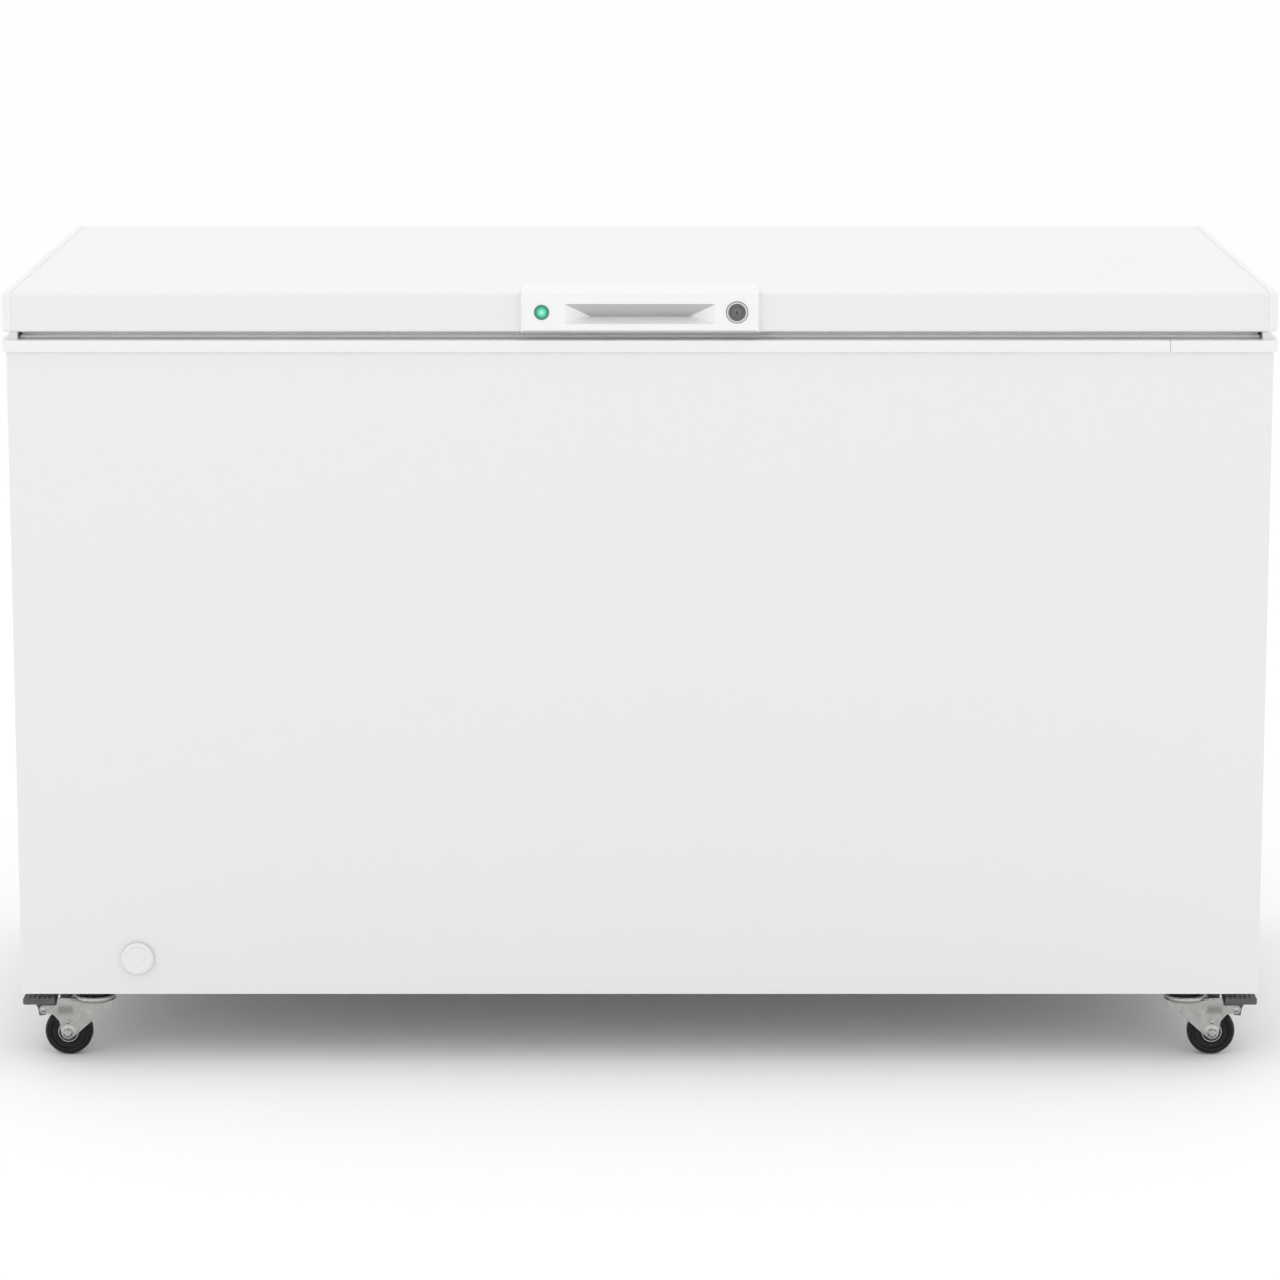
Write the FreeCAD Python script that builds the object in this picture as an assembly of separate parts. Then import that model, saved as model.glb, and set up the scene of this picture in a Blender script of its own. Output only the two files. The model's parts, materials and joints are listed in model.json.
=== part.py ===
import FreeCAD, Part
import math
import os
from FreeCAD import Vector

# Chest freezer on four swivel casters.
# Millimetres, +X to the right, -Y to the front, +Z up, origin on the floor under the middle.

# cabinet
body_width = 1540.0
body_depth = 715.0
body_height = 807.0
body_corner = 6.0
skin = 0.8
return_flange = 16.0
bottom_flange = 25.0
wall = 66.0
floor_wall = 70.0
liner_sheet = 1.0
liner_corner = 20.0
rear_sheet = 1.0
base_sheet = 1.2
sheet_gap = 0.5

# machine compartment at the lower right
compartment_width = 300.0
compartment_height = 260.0
compartment_sheet = 1.2
step_wall = 60.0

# top collar
collar_height = 14.0
collar_overhang = 5.0
collar_plate = 3.0
collar_lip = 3.0
collar_lip_drop = 31.0
collar_lap = 8.0
collar_seam_inset = 127.0
collar_seam = 0.5
ridge_foot = 15.0
ridge_head = 8.0
ridge_height = 9.3
ridge_inset = 4.0
ledge_width = 9.0
ledge_thickness = 4.0

# lid
lid_thickness = 48.0
lid_gap = 10.0
lid_side_overhang = 3.0
lid_front_overhang = 3.0
lid_back_overhang = 7.0
lid_top_radius = 6.0
lid_bottom_radius = 4.0
lid_sheet = 0.6
lid_flange = 14.0
end_cap_width = 10.5
end_cap_proud = 0.8
end_cap_wall = 3.0
end_cap_round = 3.5
lid_liner_sheet = 2.0
plug_drop = 21.0
plug_margin = 20.0
plug_round = 8.0
lamp_length = 72.0
lamp_width = 34.0
lamp_depth = 8.0
gasket_inset = 18.0
gasket_base = 22.0
gasket_foot = 20.0
gasket_waist = 15.0
gasket_foot_height = 4.2
gasket_base_height = 3.0

# handle housing
handle_width = 289.0
handle_proud = 10.0
handle_deck_length = 70.0
handle_deck = 3.0
handle_wall = 2.5
handle_round = 4.0
handle_lift = 0.4
pocket_width = 182.0
pocket_bottom = 11.0
pocket_height = 24.7
pocket_depth = 20.0
pocket_valley_width = 121.0
pocket_valley_rise = 7.0
fitting_height = 25.4
lens_x = -119.0
lens_radius = 9.2
lens_proud = 1.2
lens_depth = 6.0
lamp_radius = 5.0
lock_x = 117.4
bezel_radius = 13.35
bezel_bore = 10.55
bezel_proud = 1.2
bezel_sleeve = 12.0
bezel_reach = 3.0
core_radius = 10.5
core_proud = 0.6
core_grooves = (8.6, 6.6)
core_groove_depth = 0.5
keyway_radius = 3.6
keyway_depth = 3.0
keyway_post = 1.4
cam_reach = 47.5
cam_hook = 4.5
cam_hook_angle = 20.0
cam_half_width = 5.0
cam_thickness = 3.0
cam_depth = 8.0
strike_sheet = 1.5

# hinges
hinge_inset = 320.0
hinge_back = 14.0
hinge_drop = 3.0
hinge_knuckle = 8.0
hinge_pin_radius = 4.0
hinge_leaf_width = 70.0
hinge_ear = 3.0
lid_leaf_sheet = 2.5
lid_leaf_drop = 4.0
leaf_screw_hole = 2.5
hinge_ear_x = 25.0
hinge_knuckle_half = 10.0
spring_wire = 1.0
spring_radius = 6.2
spring_turns = 4
cover_depth = 25.0
cover_height = 92.0
cover_width = 92.0
cover_wall = 2.5
cover_top_gap = 4.0

# drain
drain_inset = 146.0
drain_height = 46.5
drain_cap_radius = 20.0
drain_cap_proud = 8.0
drain_bore = 8.3
drain_tube_radius = 8.0
drain_tube_bore = 6.0
drain_wall = 3.0
drain_bend = 12.0
drain_run = 130.0
socket_length = 31.0
socket_seat = 7.0
socket_flange = 4.0
cap_spigot = 16.0
drain_plug_head = 14.0
plug_stem = 14.0
plug_grip = 6.0
plug_rise = 13.0

# casters
caster_inset_x = 86.0
caster_inset_y = 46.0
caster_trail = 33.0
wheel_radius = 30.0
wheel_headroom = 11.4
wheel_width = 22.0
axle_radius = 4.0
fork_gap = 1.5
fork_sheet = 2.5
crown_radius = 26.6
crown_thickness = 7.1
race_radius = 20.0
race_gap = 5.5
race_flange = 3.0
plate_sheet = 3.0
plate_length = 76.0
plate_width = 62.0
plate_corner = 6.0
race_drop = 6.0
bolt_inset = 9.0
bolt_radius = 5.5
bolt_head = 2.4
kingpin_radius = 4.5
kingpin_drop = 5.0
fork_hub = 8.5
fork_tab = 18.0
rivet_radius = 5.6
rivet_height = 3.5
wheel_hub_radius = 12.2
pedal_length = 40.0
pedal_width = 38.0
pedal_thickness = 9.0
pedal_round = 2.5
pedal_ribs = 6
pedal_rib_pitch = 6.0
pedal_rib_depth = 1.2
pedal_eye = 5.6
pedal_side_gap = 1.0
pedal_lift = 7.4
pedal_overhang = 25.2
brake_reach = 12.7
brake_slope = 45.8
pedal_pin = 2.5

# wire baskets
basket_length = 300.0
basket_height = 190.0
rim_wire = 3.0
mesh_wire = 1.6
basket_end_gap = 20.0
rim_bend = 22.0
wire_bend = 8.0
rim_hanger = 2.0
grid_split = 4.0
cross_wires = 9
cross_wire_margin = 12.0
long_wires = 5
long_wire_margin = 25.0

# refrigeration
evaporator_tube = 3.0
condenser_tube = 2.5
evaporator_bend = 23.0
condenser_bend = 15.0
coil_pitch = 110.0
upper_turns = 5
lower_turns = 2
riser_offset = 60.0
compressor_radius = 75.0
compressor_height = 158.0
compressor_inset = 150.0
compressor_back = 190.0
foot_plate = 4.0
foot_plate_length = 190.0
foot_plate_width = 130.0
foot_height = 14.0
foot_radius = 13.0
foot_inset = 17.0
stub_reach = 5.0
discharge_rise = 89.0
suction_rise = 44.0
suction_run = 60.0
relay_depth = 26.0
relay_width = 52.0
relay_height = 40.0
relay_rise = 25.0
drier_radius = 11.0
drier_length = 110.0
drier_taper = 10.0
drier_inset = 38.0
drier_front = 120.0
drier_rise = 60.0
discharge_loop = 35.0
liquid_drop = 25.0
liquid_run = 70.0
pipe_radius = 4.0
pipe_bend = 12.0

# side grille, rear cover
grille_length = 300.0
grille_height = 180.0
grille_back = 230.0
grille_rise = 35.0
grille_flange = 8.0
grille_plate = 1.8
grille_rim = 7.0
grille_rim_wall = 2.0
grille_corner = 10.0
grille_slots = 10
grille_slot = 7.0
grille_pitch = 15.0
grille_border = 18.0
dial_offset = 105.0
dish_radius = 25.0
dish_wall = 2.0
dish_depth = 16.0
knob_radius = 17.0
knob_height = 9.0
knob_ridge_width = 5.0
knob_ridge_length = 24.0
knob_ridge_height = 4.0
shaft_radius = 3.0
shaft_reach = 10.0
switch_depth = 30.0
switch_width = 40.0
switch_height = 44.0
opening_width = 240.0
opening_height = 218.0
opening_rise = 22.0
opening_margin = 30.0
cover_lap_side = 9.0
cover_lap_top = 9.0
cover_lap_bottom = 4.0
cover_slot_columns = 5
cover_slot_rows = 9
cover_slot_length = 26.0
cover_slot = 5.0
cover_column_pitch = 38.0
cover_row_pitch = 20.0
cover_slot_inset = 62.0
cover_slot_rise = 22.0
cover_screw_inset = 4.0
cover_screw_rise = 15.0
cover_screw_hole = 2.0
inlet_offset = 26.0
inlet_radius = 11.0
inlet_flange = 15.0
inlet_rim = 2.8
inlet_cone = 10.8
inlet_tip_wall = 3.5
inlet_nut = 9.0
inlet_nut_gap = 2.2
cord_bore = 4.5

# screws
screw_shank = 1.9
screw_head_height = 2.4
screw_slot = 0.9
hinge_screw_head = 4.5
cover_screw_head = 4.0

# clearances
running = 0.05
free = 0.3
loose = 1.0

# places worked out from the sizes above
crown_bottom = 2 * wheel_radius + wheel_headroom
crown_top = crown_bottom + crown_thickness
race_top = crown_top + race_gap
floor_clearance = race_top + race_flange + plate_sheet
pedal_pivot_x = caster_trail + (wheel_radius + brake_reach) * math.cos(math.radians(brake_slope))
pedal_pivot_z = wheel_radius + (wheel_radius + brake_reach) * math.sin(math.radians(brake_slope))
pedal_bottom = pedal_pivot_z + pedal_lift
pedal_reach = pedal_pivot_x + pedal_overhang
pedal_inner = pedal_reach - pedal_length
front_proud = lid_front_overhang + handle_proud + bezel_proud
rear_proud = cover_depth
lid_width = body_width + 2 * lid_side_overhang
lid_depth = body_depth + lid_front_overhang + lid_back_overhang
body_front = -(front_proud + body_depth + rear_proud) / 2 + front_proud
body_back = body_front + body_depth
half_width = body_width / 2
body_bottom = floor_clearance
collar_bottom = body_bottom + body_height
collar_top = collar_bottom + collar_height
skin_top = collar_bottom + collar_lap
lid_bottom = collar_top + lid_gap
lid_top = lid_bottom + lid_thickness
lid_front = body_front - lid_front_overhang
lid_back = lid_front + lid_depth
lid_half = lid_width / 2
lid_liner_bottom = lid_bottom + lid_sheet
lid_liner_top = lid_liner_bottom + lid_liner_sheet
panel_half = lid_half - end_cap_width
base_bottom = body_bottom + skin
base_top = base_bottom + base_sheet
liner_half = half_width - wall
liner_front = body_front + wall
liner_back = body_back - wall
liner_bottom = body_bottom + floor_wall
compartment_left = half_width - compartment_width
compartment_top = body_bottom + compartment_height
liner_step_x = compartment_left - wall
liner_step_z = compartment_top + step_wall
rear_inner = body_back - skin - rear_sheet
fitting_z = lid_bottom + fitting_height
handle_front = lid_front - handle_proud
collar_seam_x = half_width - collar_seam_inset
hinge_x = half_width - hinge_inset
hinge_y = body_back + hinge_back
hinge_z = collar_top - hinge_drop
drain_x = -half_width + drain_inset
drain_z = body_bottom + drain_height
drain_y = body_front + drain_run
caster_x = half_width - caster_inset_x
compressor_x = half_width - compressor_inset
compressor_y = body_back - compressor_back
compressor_low = base_top + foot_height
drier_x = compartment_left + drier_inset
drier_y = compressor_y - drier_front
drier_bottom = base_top + drier_rise
grille_y = body_back - grille_back
grille_low = body_bottom + grille_rise
opening_low = body_bottom + opening_rise
grille_z = grille_low + grille_height / 2
dial_y = grille_y - dial_offset


def save(name, shape):
    shape.exportStep("parts/" + name + ".step")


def box(x, y, z):
    return Part.makeBox(x[1] - x[0], y[1] - y[0], z[1] - z[0], Vector(x[0], y[0], z[0]))


def cylinder(centre, radius, length, direction):
    return Part.makeCylinder(radius, length, Vector(*centre), Vector(*direction))


def along(edge, axis):
    # true for a straight edge that runs along axis 0, 1 or 2
    if edge.Curve.TypeId != "Part::GeomLine":
        return False
    run = edge.Vertexes[0].Point - edge.Vertexes[-1].Point
    return abs(abs(run[axis]) - run.Length) < 0.001


def rounded(shape, radius, pick):
    edges = [edge for edge in shape.Edges if pick(edge)]
    return shape.makeFillet(radius, edges)


def prism(x, y, z, radius):
    return rounded(box(x, y, z), radius, lambda edge: along(edge, 2))


def ring(x, y, z, width):
    inner = box((x[0] + width, x[1] - width), (y[0] + width, y[1] - width), z)
    return box(x, y, z).cut(inner)


def one_body(pieces):
    return pieces[0].multiFuse(pieces[1:]).removeSplitter()


def group(solids):
    return Part.makeCompound(solids)


def mirrored(shape):
    return shape.mirror(Vector(0, 0, 0), Vector(1, 0, 0))


def bent_wire(points, bend):
    # straight runs joined by tangent arcs
    points = [Vector(*point) for point in points]
    edges = []
    start = points[0]
    for before, corner, after in zip(points, points[1:], points[2:]):
        into = (corner - before).normalize()
        out = (after - corner).normalize()
        setback = bend * math.tan(into.getAngle(out) / 2)
        first = corner - into * setback
        last = corner + out * setback
        inward = (out - into).normalize()
        rise = bend / math.cos(into.getAngle(out) / 2) - bend
        edges.append(Part.LineSegment(start, first).toShape())
        edges.append(Part.Arc(first, corner + inward * rise, last).toShape())
        start = last
    edges.append(Part.LineSegment(start, points[-1]).toShape())
    return Part.Wire(edges)


def tube(points, radius, bend):
    spine = bent_wire(points, bend)
    heading = Vector(*points[1]) - Vector(*points[0])
    section = Part.Wire(Part.makeCircle(radius, Vector(*points[0]), heading))
    return spine.makePipeShell([section], True, False)


def turned(profile, centre, direction):
    # a profile of (radius, height) points turned about the line through centre
    points = [Vector(radius, 0, height) for radius, height in profile]
    solid = Part.Face(Part.makePolygon(points + points[:1])).revolve(Vector(0, 0, 0), Vector(0, 0, 1), 360)
    turn = FreeCAD.Rotation(Vector(0, 0, 1), Vector(*direction))
    solid.Placement = FreeCAD.Placement(Vector(*centre), turn)
    return solid


def faceted(points, faces):
    shapes = []
    for face in faces:
        loop = [Vector(*points[index]) for index in face]
        shapes.append(Part.Face(Part.makePolygon(loop + loop[:1])))
    return Part.makeSolid(Part.makeShell(shapes))


# cabinet: sheet metal

def cabinet_wrapper():
    # one sheet wraps the front and both sides and turns in at the back and underneath
    outer = prism((-half_width, half_width), (body_front, body_back), (body_bottom, skin_top), body_corner)
    inside = prism((-half_width + skin, half_width - skin), (body_front + skin, body_back - skin),
                   (base_bottom, skin_top + 1), body_corner - skin)
    back = half_width - return_flange
    underside = half_width - bottom_flange
    shell = outer.cut(inside)
    shell = shell.cut(box((-back, back), (rear_inner, body_back + 1),
                          (body_bottom + return_flange, skin_top + 1)))
    shell = shell.cut(box((-underside, underside), (body_front + bottom_flange, body_back - bottom_flange),
                          (body_bottom - 1, base_bottom + 1)))
    flange = grille_flange - sheet_gap
    shell = shell.cut(box((half_width - 2, half_width + 1),
                          (grille_y - grille_length / 2 + flange, grille_y + grille_length / 2 - flange),
                          (grille_low + flange, grille_low + grille_height - flange)))
    return shell.cut(cylinder((drain_x, body_front - 1, drain_z), drain_bore + drain_wall, 4, (0, 1, 0)))


def rear_opening(depth):
    left = compartment_left + opening_margin
    return box((left, left + opening_width), depth, (opening_low, opening_low + opening_height))


def rear_panel():
    half = half_width - body_corner - sheet_gap
    panel = box((-half, half), (rear_inner, body_back - skin), (base_top, skin_top))
    return panel.cut(rear_opening((rear_inner - 1, body_back + 1)))


def base_pan():
    half = half_width - body_corner - sheet_gap
    return box((-half, half), (body_front + body_corner + sheet_gap, body_back - skin),
               (base_bottom, base_top))


def compartment_wall():
    depth = (body_front + body_corner + sheet_gap, body_back - body_corner - sheet_gap)
    low = compartment_left - compartment_sheet
    high = compartment_top + compartment_sheet
    bend = box((low, half_width - skin), depth, (base_top, high))
    return bend.cut(box((compartment_left, half_width), (depth[0] - 1, depth[1] + 1),
                        (base_top - 1, compartment_top)))


# cabinet: liner, coils and foam

def liner_form(inset, top):
    # a deep tub with a step over the machine compartment
    x = (-liner_half + inset, liner_half - inset)
    y = (liner_front + inset, liner_back - inset)
    upper = box(x, y, (liner_step_z + inset, top))
    lower = box((x[0], liner_step_x - inset), y, (liner_bottom + inset, top))
    return rounded(upper.fuse(lower).removeSplitter(), liner_corner - inset, lambda edge: along(edge, 2))


def drain_hole(radius):
    return cylinder((drain_x, drain_y, liner_bottom - 5), radius, 10, (0, 0, 1))


def inner_liner():
    return liner_form(0, skin_top).cut(liner_form(liner_sheet, skin_top + 1)).cut(drain_hole(drain_tube_bore))


def turn_levels(first, count):
    return [first + coil_pitch * turn for turn in range(count)]


upper_levels = turn_levels(liner_step_z + 30, upper_turns - 1)
lower_levels = turn_levels(liner_bottom + 60, lower_turns)
condenser_levels = turn_levels(compartment_top + 45, upper_turns)


def coil_path(levels, right, x_left, y):
    # level turns joined by risers at the left front corner; right gives each turn its right-hand end
    riser = y[0] + riser_offset
    path = [(x_left, riser, levels[0])]
    for index, level in enumerate(levels):
        path += [(x_left, y[0], level), (right[index], y[0], level)]
        path += [(right[index], y[1], level), (x_left, y[1], level)]
        path.append((x_left, riser, level))
        if index + 1 < len(levels):
            path.append((x_left, riser, levels[index + 1]))
    return path[:-1] + [(x_left, riser + riser_offset, levels[-1])]


evaporator_levels = lower_levels + upper_levels
evaporator_right = [liner_step_x + evaporator_tube] * lower_turns
evaporator_right += [liner_half + evaporator_tube] * (upper_turns - 1)
evaporator_y = (liner_front - evaporator_tube, liner_back + evaporator_tube)
condenser_edge = half_width - skin - condenser_tube
condenser_y = (body_front + skin + condenser_tube, rear_inner - condenser_tube)


def evaporator_coil():
    path = coil_path(evaporator_levels, evaporator_right, -liner_half - evaporator_tube, evaporator_y)
    return tube(path, evaporator_tube, evaporator_bend)


def condenser_coil():
    path = coil_path(condenser_levels, [condenser_edge] * upper_turns, -condenser_edge, condenser_y)
    return tube(path, condenser_tube, condenser_bend)


def evaporator_grooves():
    grooves = []
    reach = evaporator_tube + 2 * running
    for right, level in zip(evaporator_right, evaporator_levels):
        grooves.append(prism((-liner_half - evaporator_tube - reach, right + reach),
                             (evaporator_y[0] - reach, evaporator_y[1] + reach),
                             (level - reach, level + reach), evaporator_bend + reach))
    riser = evaporator_y[0] + riser_offset
    x = -liner_half - evaporator_tube
    grooves.append(box((x - reach, x + reach),
                       (riser - evaporator_bend - reach, riser + evaporator_bend + reach),
                       (evaporator_levels[0] - reach, evaporator_levels[-1] + reach)))
    return grooves


def condenser_grooves():
    grooves = []
    reach = condenser_tube + 2 * running
    edge = half_width
    for level in condenser_levels:
        z = (level - reach, level + reach)
        outside = box((-edge, edge), (body_front, body_back), z)
        inside = prism((-condenser_edge + reach, condenser_edge - reach),
                       (condenser_y[0] + reach, condenser_y[1] - reach), z, condenser_bend - reach)
        grooves.append(outside.cut(inside))
    riser = condenser_y[0] + riser_offset
    grooves.append(box((-edge, -condenser_edge + reach),
                       (riser - condenser_bend - reach, riser + condenser_bend + reach),
                       (condenser_levels[0] - reach, condenser_levels[-1] + reach)))
    return grooves


def drain_route():
    return [(drain_x, body_front + socket_length - 1, drain_z), (drain_x, drain_y, drain_z),
            (drain_x, drain_y, liner_bottom)]


def cabinet_foam():
    foam = prism((-half_width + skin, half_width - skin), (body_front + skin, body_back - skin),
                 (base_top, skin_top), body_corner - skin)
    foam = foam.cut(box((-half_width, half_width), (rear_inner, body_back), (body_bottom, skin_top + 1)))
    foam = foam.cut(box((compartment_left - compartment_sheet, half_width), (body_front, body_back),
                        (body_bottom, compartment_top + compartment_sheet)))
    foam = foam.cut(liner_form(0, skin_top + 1))
    for groove in evaporator_grooves() + condenser_grooves():
        foam = foam.cut(groove)
    socket = cylinder((drain_x, body_front, drain_z), drain_bore + drain_wall, socket_length - 1, (0, 1, 0))
    foam = foam.cut(socket)
    foam = foam.cut(tube(drain_route(), drain_tube_radius, drain_bend))
    return foam.cut(strike_pocket())


# cabinet: collar and strike

def cam_slot(depth):
    # the sweep of the lock's cam through a level plate that lies between two heights
    reach = cam_reach + cam_half_width
    return box((lock_x - cam_half_width - loose, lock_x + reach - cam_half_width),
               (lid_front + cam_depth - loose / 2, lid_front + cam_depth + cam_thickness + loose / 2), depth)


def strike_pocket():
    reach = cam_reach + cam_half_width
    return box((lock_x - reach / 2, lock_x + reach), (body_front + skin, body_front + skin + collar_height),
               (fitting_z - cam_reach - 2 * loose, skin_top + 1))


def lock_strike():
    reach = cam_reach + cam_half_width
    plate = box((lock_x - reach / 2, lock_x + reach),
                (body_front + skin + free, body_front + skin + collar_height),
                (collar_top - collar_plate - strike_sheet, collar_top - collar_plate))
    return plate.cut(cam_slot((collar_bottom, collar_top)))


def collar_ridge(side):
    outer = side * (half_width + collar_overhang - ridge_inset)
    inner = outer - side * ridge_foot
    points = [(outer, collar_top), (inner, collar_top), (inner, collar_top + ridge_height),
              (inner + side * ridge_head, collar_top + ridge_height)]
    start = body_front + collar_overhang
    loop = [Vector(x, start, z) for x, z in points]
    run = body_depth - 2 * collar_overhang
    return Part.Face(Part.makePolygon(loop + loop[:1])).extrude(Vector(0, run, 0))


def top_collar():
    # a moulded channel laps over the sheet outside, the liner inside, and carries the basket ledge
    out = half_width + collar_overhang
    depth = (body_front - collar_overhang, body_back + collar_overhang)
    collar = prism((-out, out), depth, (collar_bottom, collar_top), body_corner + collar_overhang)
    liner_inside = liner_half - liner_sheet - free
    inner_y = (liner_front + liner_sheet + free, liner_back - liner_sheet - free)
    lip_bottom = collar_top - collar_lip_drop
    lip = prism((-liner_inside, liner_inside), inner_y, (lip_bottom, collar_top), liner_corner)
    hollow = prism((-half_width, half_width), (body_front, body_back),
                   (collar_bottom - 1, collar_top - collar_plate), body_corner)
    collar = collar.cut(hollow).fuse(lip)
    hole_x = liner_inside - collar_lip
    hole_y = (inner_y[0] + collar_lip, inner_y[1] - collar_lip)
    hole = prism((-hole_x, hole_x), hole_y, (lip_bottom - 1, collar_top + 1), liner_corner - collar_lip)
    collar = collar.cut(hole)
    for y in (hole_y[0] - loose, hole_y[1] - ledge_width):
        ledge = box((-hole_x - loose, hole_x + loose), (y, y + ledge_width + loose),
                    (lip_bottom, lip_bottom + ledge_thickness))
        collar = collar.fuse(ledge.common(lip))
    collar = one_body([collar, collar_ridge(-1), collar_ridge(1)])
    seam = box((collar_seam_x, collar_seam_x + collar_seam), (depth[0] - 1, hole_y[0] + ledge_width + 2),
               (lip_bottom - 1, collar_top + 1))
    collar = collar.cut(seam)
    return collar.cut(cam_slot((collar_bottom, collar_top + 1)))


# cabinet: refrigeration

def compressor():
    # a welded pot with a seam round its waist, on a foot plate, with two stub pipes
    r = compressor_radius
    h = compressor_height
    pot = turned([(0, foot_plate), (r * 0.8, foot_plate), (r, 20), (r, 70), (r + 4, 70), (r + 4, 76), (r, 76),
                  (r, h - 40), (r * 0.93, h - 24), (r * 0.75, h - 11), (r * 0.4, h - 2), (0, h)],
                 (compressor_x, compressor_y, compressor_low), (0, 0, 1))
    plate = prism((compressor_x - foot_plate_length / 2, compressor_x + foot_plate_length / 2),
                  (compressor_y - foot_plate_width / 2, compressor_y + foot_plate_width / 2),
                  (compressor_low, compressor_low + foot_plate), foot_inset)
    start = r + stub_reach
    discharge = cylinder((compressor_x - start, compressor_y, compressor_low + discharge_rise),
                         pipe_radius + 1, 4 * stub_reach, (1, 0, 0))
    suction = cylinder((compressor_x, compressor_y - start, compressor_low + suction_rise),
                       pipe_radius + 1, 4 * stub_reach, (0, 1, 0))
    return one_body([pot, plate, discharge, suction])


def compressor_feet():
    # waisted rubber feet under the four corners of the foot plate
    feet = []
    r = foot_radius
    h = foot_height
    for x in (-1, 1):
        for y in (-1, 1):
            where = (compressor_x + x * (foot_plate_length / 2 - foot_inset),
                     compressor_y + y * (foot_plate_width / 2 - foot_inset), base_top)
            feet.append(turned([(0, 0), (r, 0), (r, h * 0.36), (r - 4, h * 0.46), (r - 4, h * 0.64),
                                (r - 1, h * 0.71), (r - 1, h), (0, h)], where, (0, 0, 1)))
    return group(feet)


def start_relay():
    x = compressor_x + compressor_radius
    z = compressor_low + foot_plate + relay_rise
    case = prism((x - 2, x + relay_depth), (compressor_y - relay_width / 2, compressor_y + relay_width / 2),
                 (z, z + relay_height), 4)
    pot = cylinder((compressor_x, compressor_y, z - 5), compressor_radius, relay_height + 10, (0, 0, 1))
    return case.cut(pot)


def filter_drier():
    r = drier_radius
    profile = [(0, 0), (pipe_radius, 0), (r, drier_taper), (r, drier_length - drier_taper),
               (pipe_radius, drier_length), (0, drier_length)]
    return turned(profile, (drier_x, drier_y, drier_bottom), (0, 0, 1))


def refrigerant_pipes():
    left = compressor_x - compressor_radius - stub_reach
    stub = compressor_low + discharge_rise
    drier_top = drier_bottom + drier_length
    high = drier_top + discharge_loop
    discharge = [(left, compressor_y, stub), (drier_x, compressor_y, stub), (drier_x, compressor_y, high),
                 (drier_x, drier_y, high), (drier_x, drier_y, drier_top)]
    low = drier_bottom - liquid_drop
    liquid = [(drier_x, drier_y, drier_bottom), (drier_x, drier_y, low), (drier_x, drier_y - liquid_run, low),
              (drier_x, drier_y - liquid_run, compartment_top)]
    front = compressor_y - compressor_radius - stub_reach
    port = compressor_low + suction_rise
    suction = [(compressor_x, front, port), (compressor_x, front - suction_run, port),
               (compressor_x, front - suction_run, compartment_top)]
    return group([tube(route, pipe_radius, pipe_bend) for route in (discharge, liquid, suction)])


# cabinet: controls, grille and rear cover

def dish_back():
    return half_width + grille_plate - dish_depth - dish_wall


def vent_grille():
    # a plate with a rim that plugs the side window, a dished recess for the knob and a bank of slots
    y = (grille_y - grille_length / 2, grille_y + grille_length / 2)
    z = (grille_low, grille_low + grille_height)
    plate = box((half_width, half_width + grille_plate), y, z)
    plate = rounded(plate, grille_corner, lambda edge: along(edge, 0))
    inset = grille_flange + sheet_gap
    outer_y = (y[0] + inset, y[1] - inset)
    outer_z = (z[0] + inset, z[1] - inset)
    rim = box((half_width - grille_rim, half_width), outer_y, outer_z)
    hole = box((half_width - grille_rim - 1, half_width + 1),
               (outer_y[0] + grille_rim_wall, outer_y[1] - grille_rim_wall),
               (outer_z[0] + grille_rim_wall, outer_z[1] - grille_rim_wall))
    low = dish_back()
    dish = cylinder((low, dial_y, grille_z), dish_radius, half_width + grille_plate - low, (1, 0, 0))
    hollow = cylinder((low + dish_wall, dial_y, grille_z), dish_radius - dish_wall, dish_depth + 1, (1, 0, 0))
    grille = plate.fuse(rim.cut(hole)).fuse(dish).cut(hollow)
    grille = grille.cut(cylinder((low - 1, dial_y, grille_z), shaft_radius + free, dish_wall + 2, (1, 0, 0)))
    for row in range(grille_slots):
        low = z[0] + grille_border + row * grille_pitch
        slot = box((half_width - 1, half_width + grille_plate + 1),
                   (dial_y + dish_radius + grille_border, y[1] - grille_border), (low, low + grille_slot))
        grille = grille.cut(slot)
    return grille


def thermostat_body():
    case = prism((dish_back() - switch_depth, dish_back()),
                 (dial_y - switch_width / 2, dial_y + switch_width / 2),
                 (grille_z - switch_height / 2, grille_z + switch_height / 2), 3)
    return case.cut(cylinder((dish_back() - shaft_reach - 2, dial_y, grille_z), shaft_radius + running,
                             shaft_reach + 3, (1, 0, 0)))


def thermostat_knob():
    r = knob_radius
    h = knob_height
    face = dish_back() + dish_wall + loose
    knob = turned([(0, 0), (r, 0), (r, h * 0.45), (r - 2, h * 0.67), (r - 3, h), (0, h)],
                  (face, dial_y, grille_z), (1, 0, 0))
    ridge = box((face + h - 1, face + h + knob_ridge_height),
                (dial_y - knob_ridge_width / 2, dial_y + knob_ridge_width / 2),
                (grille_z - knob_ridge_length / 2, grille_z + knob_ridge_length / 2))
    shaft = cylinder((dish_back() - shaft_reach, dial_y, grille_z), shaft_radius,
                     face - dish_back() + shaft_reach + 1, (1, 0, 0))
    return one_body([knob, ridge, shaft])


def cover_screws_at():
    left = compartment_left + opening_margin
    right = left + opening_width
    low = opening_low + cover_screw_rise
    high = opening_low + opening_height - cover_screw_rise
    columns = (left - cover_screw_inset, right + cover_screw_inset)
    return [(x, z) for x in columns for z in (low, (low + high) / 2, high)]


def inlet_at():
    return compartment_left + opening_margin + inlet_offset, opening_low + inlet_offset


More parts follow.
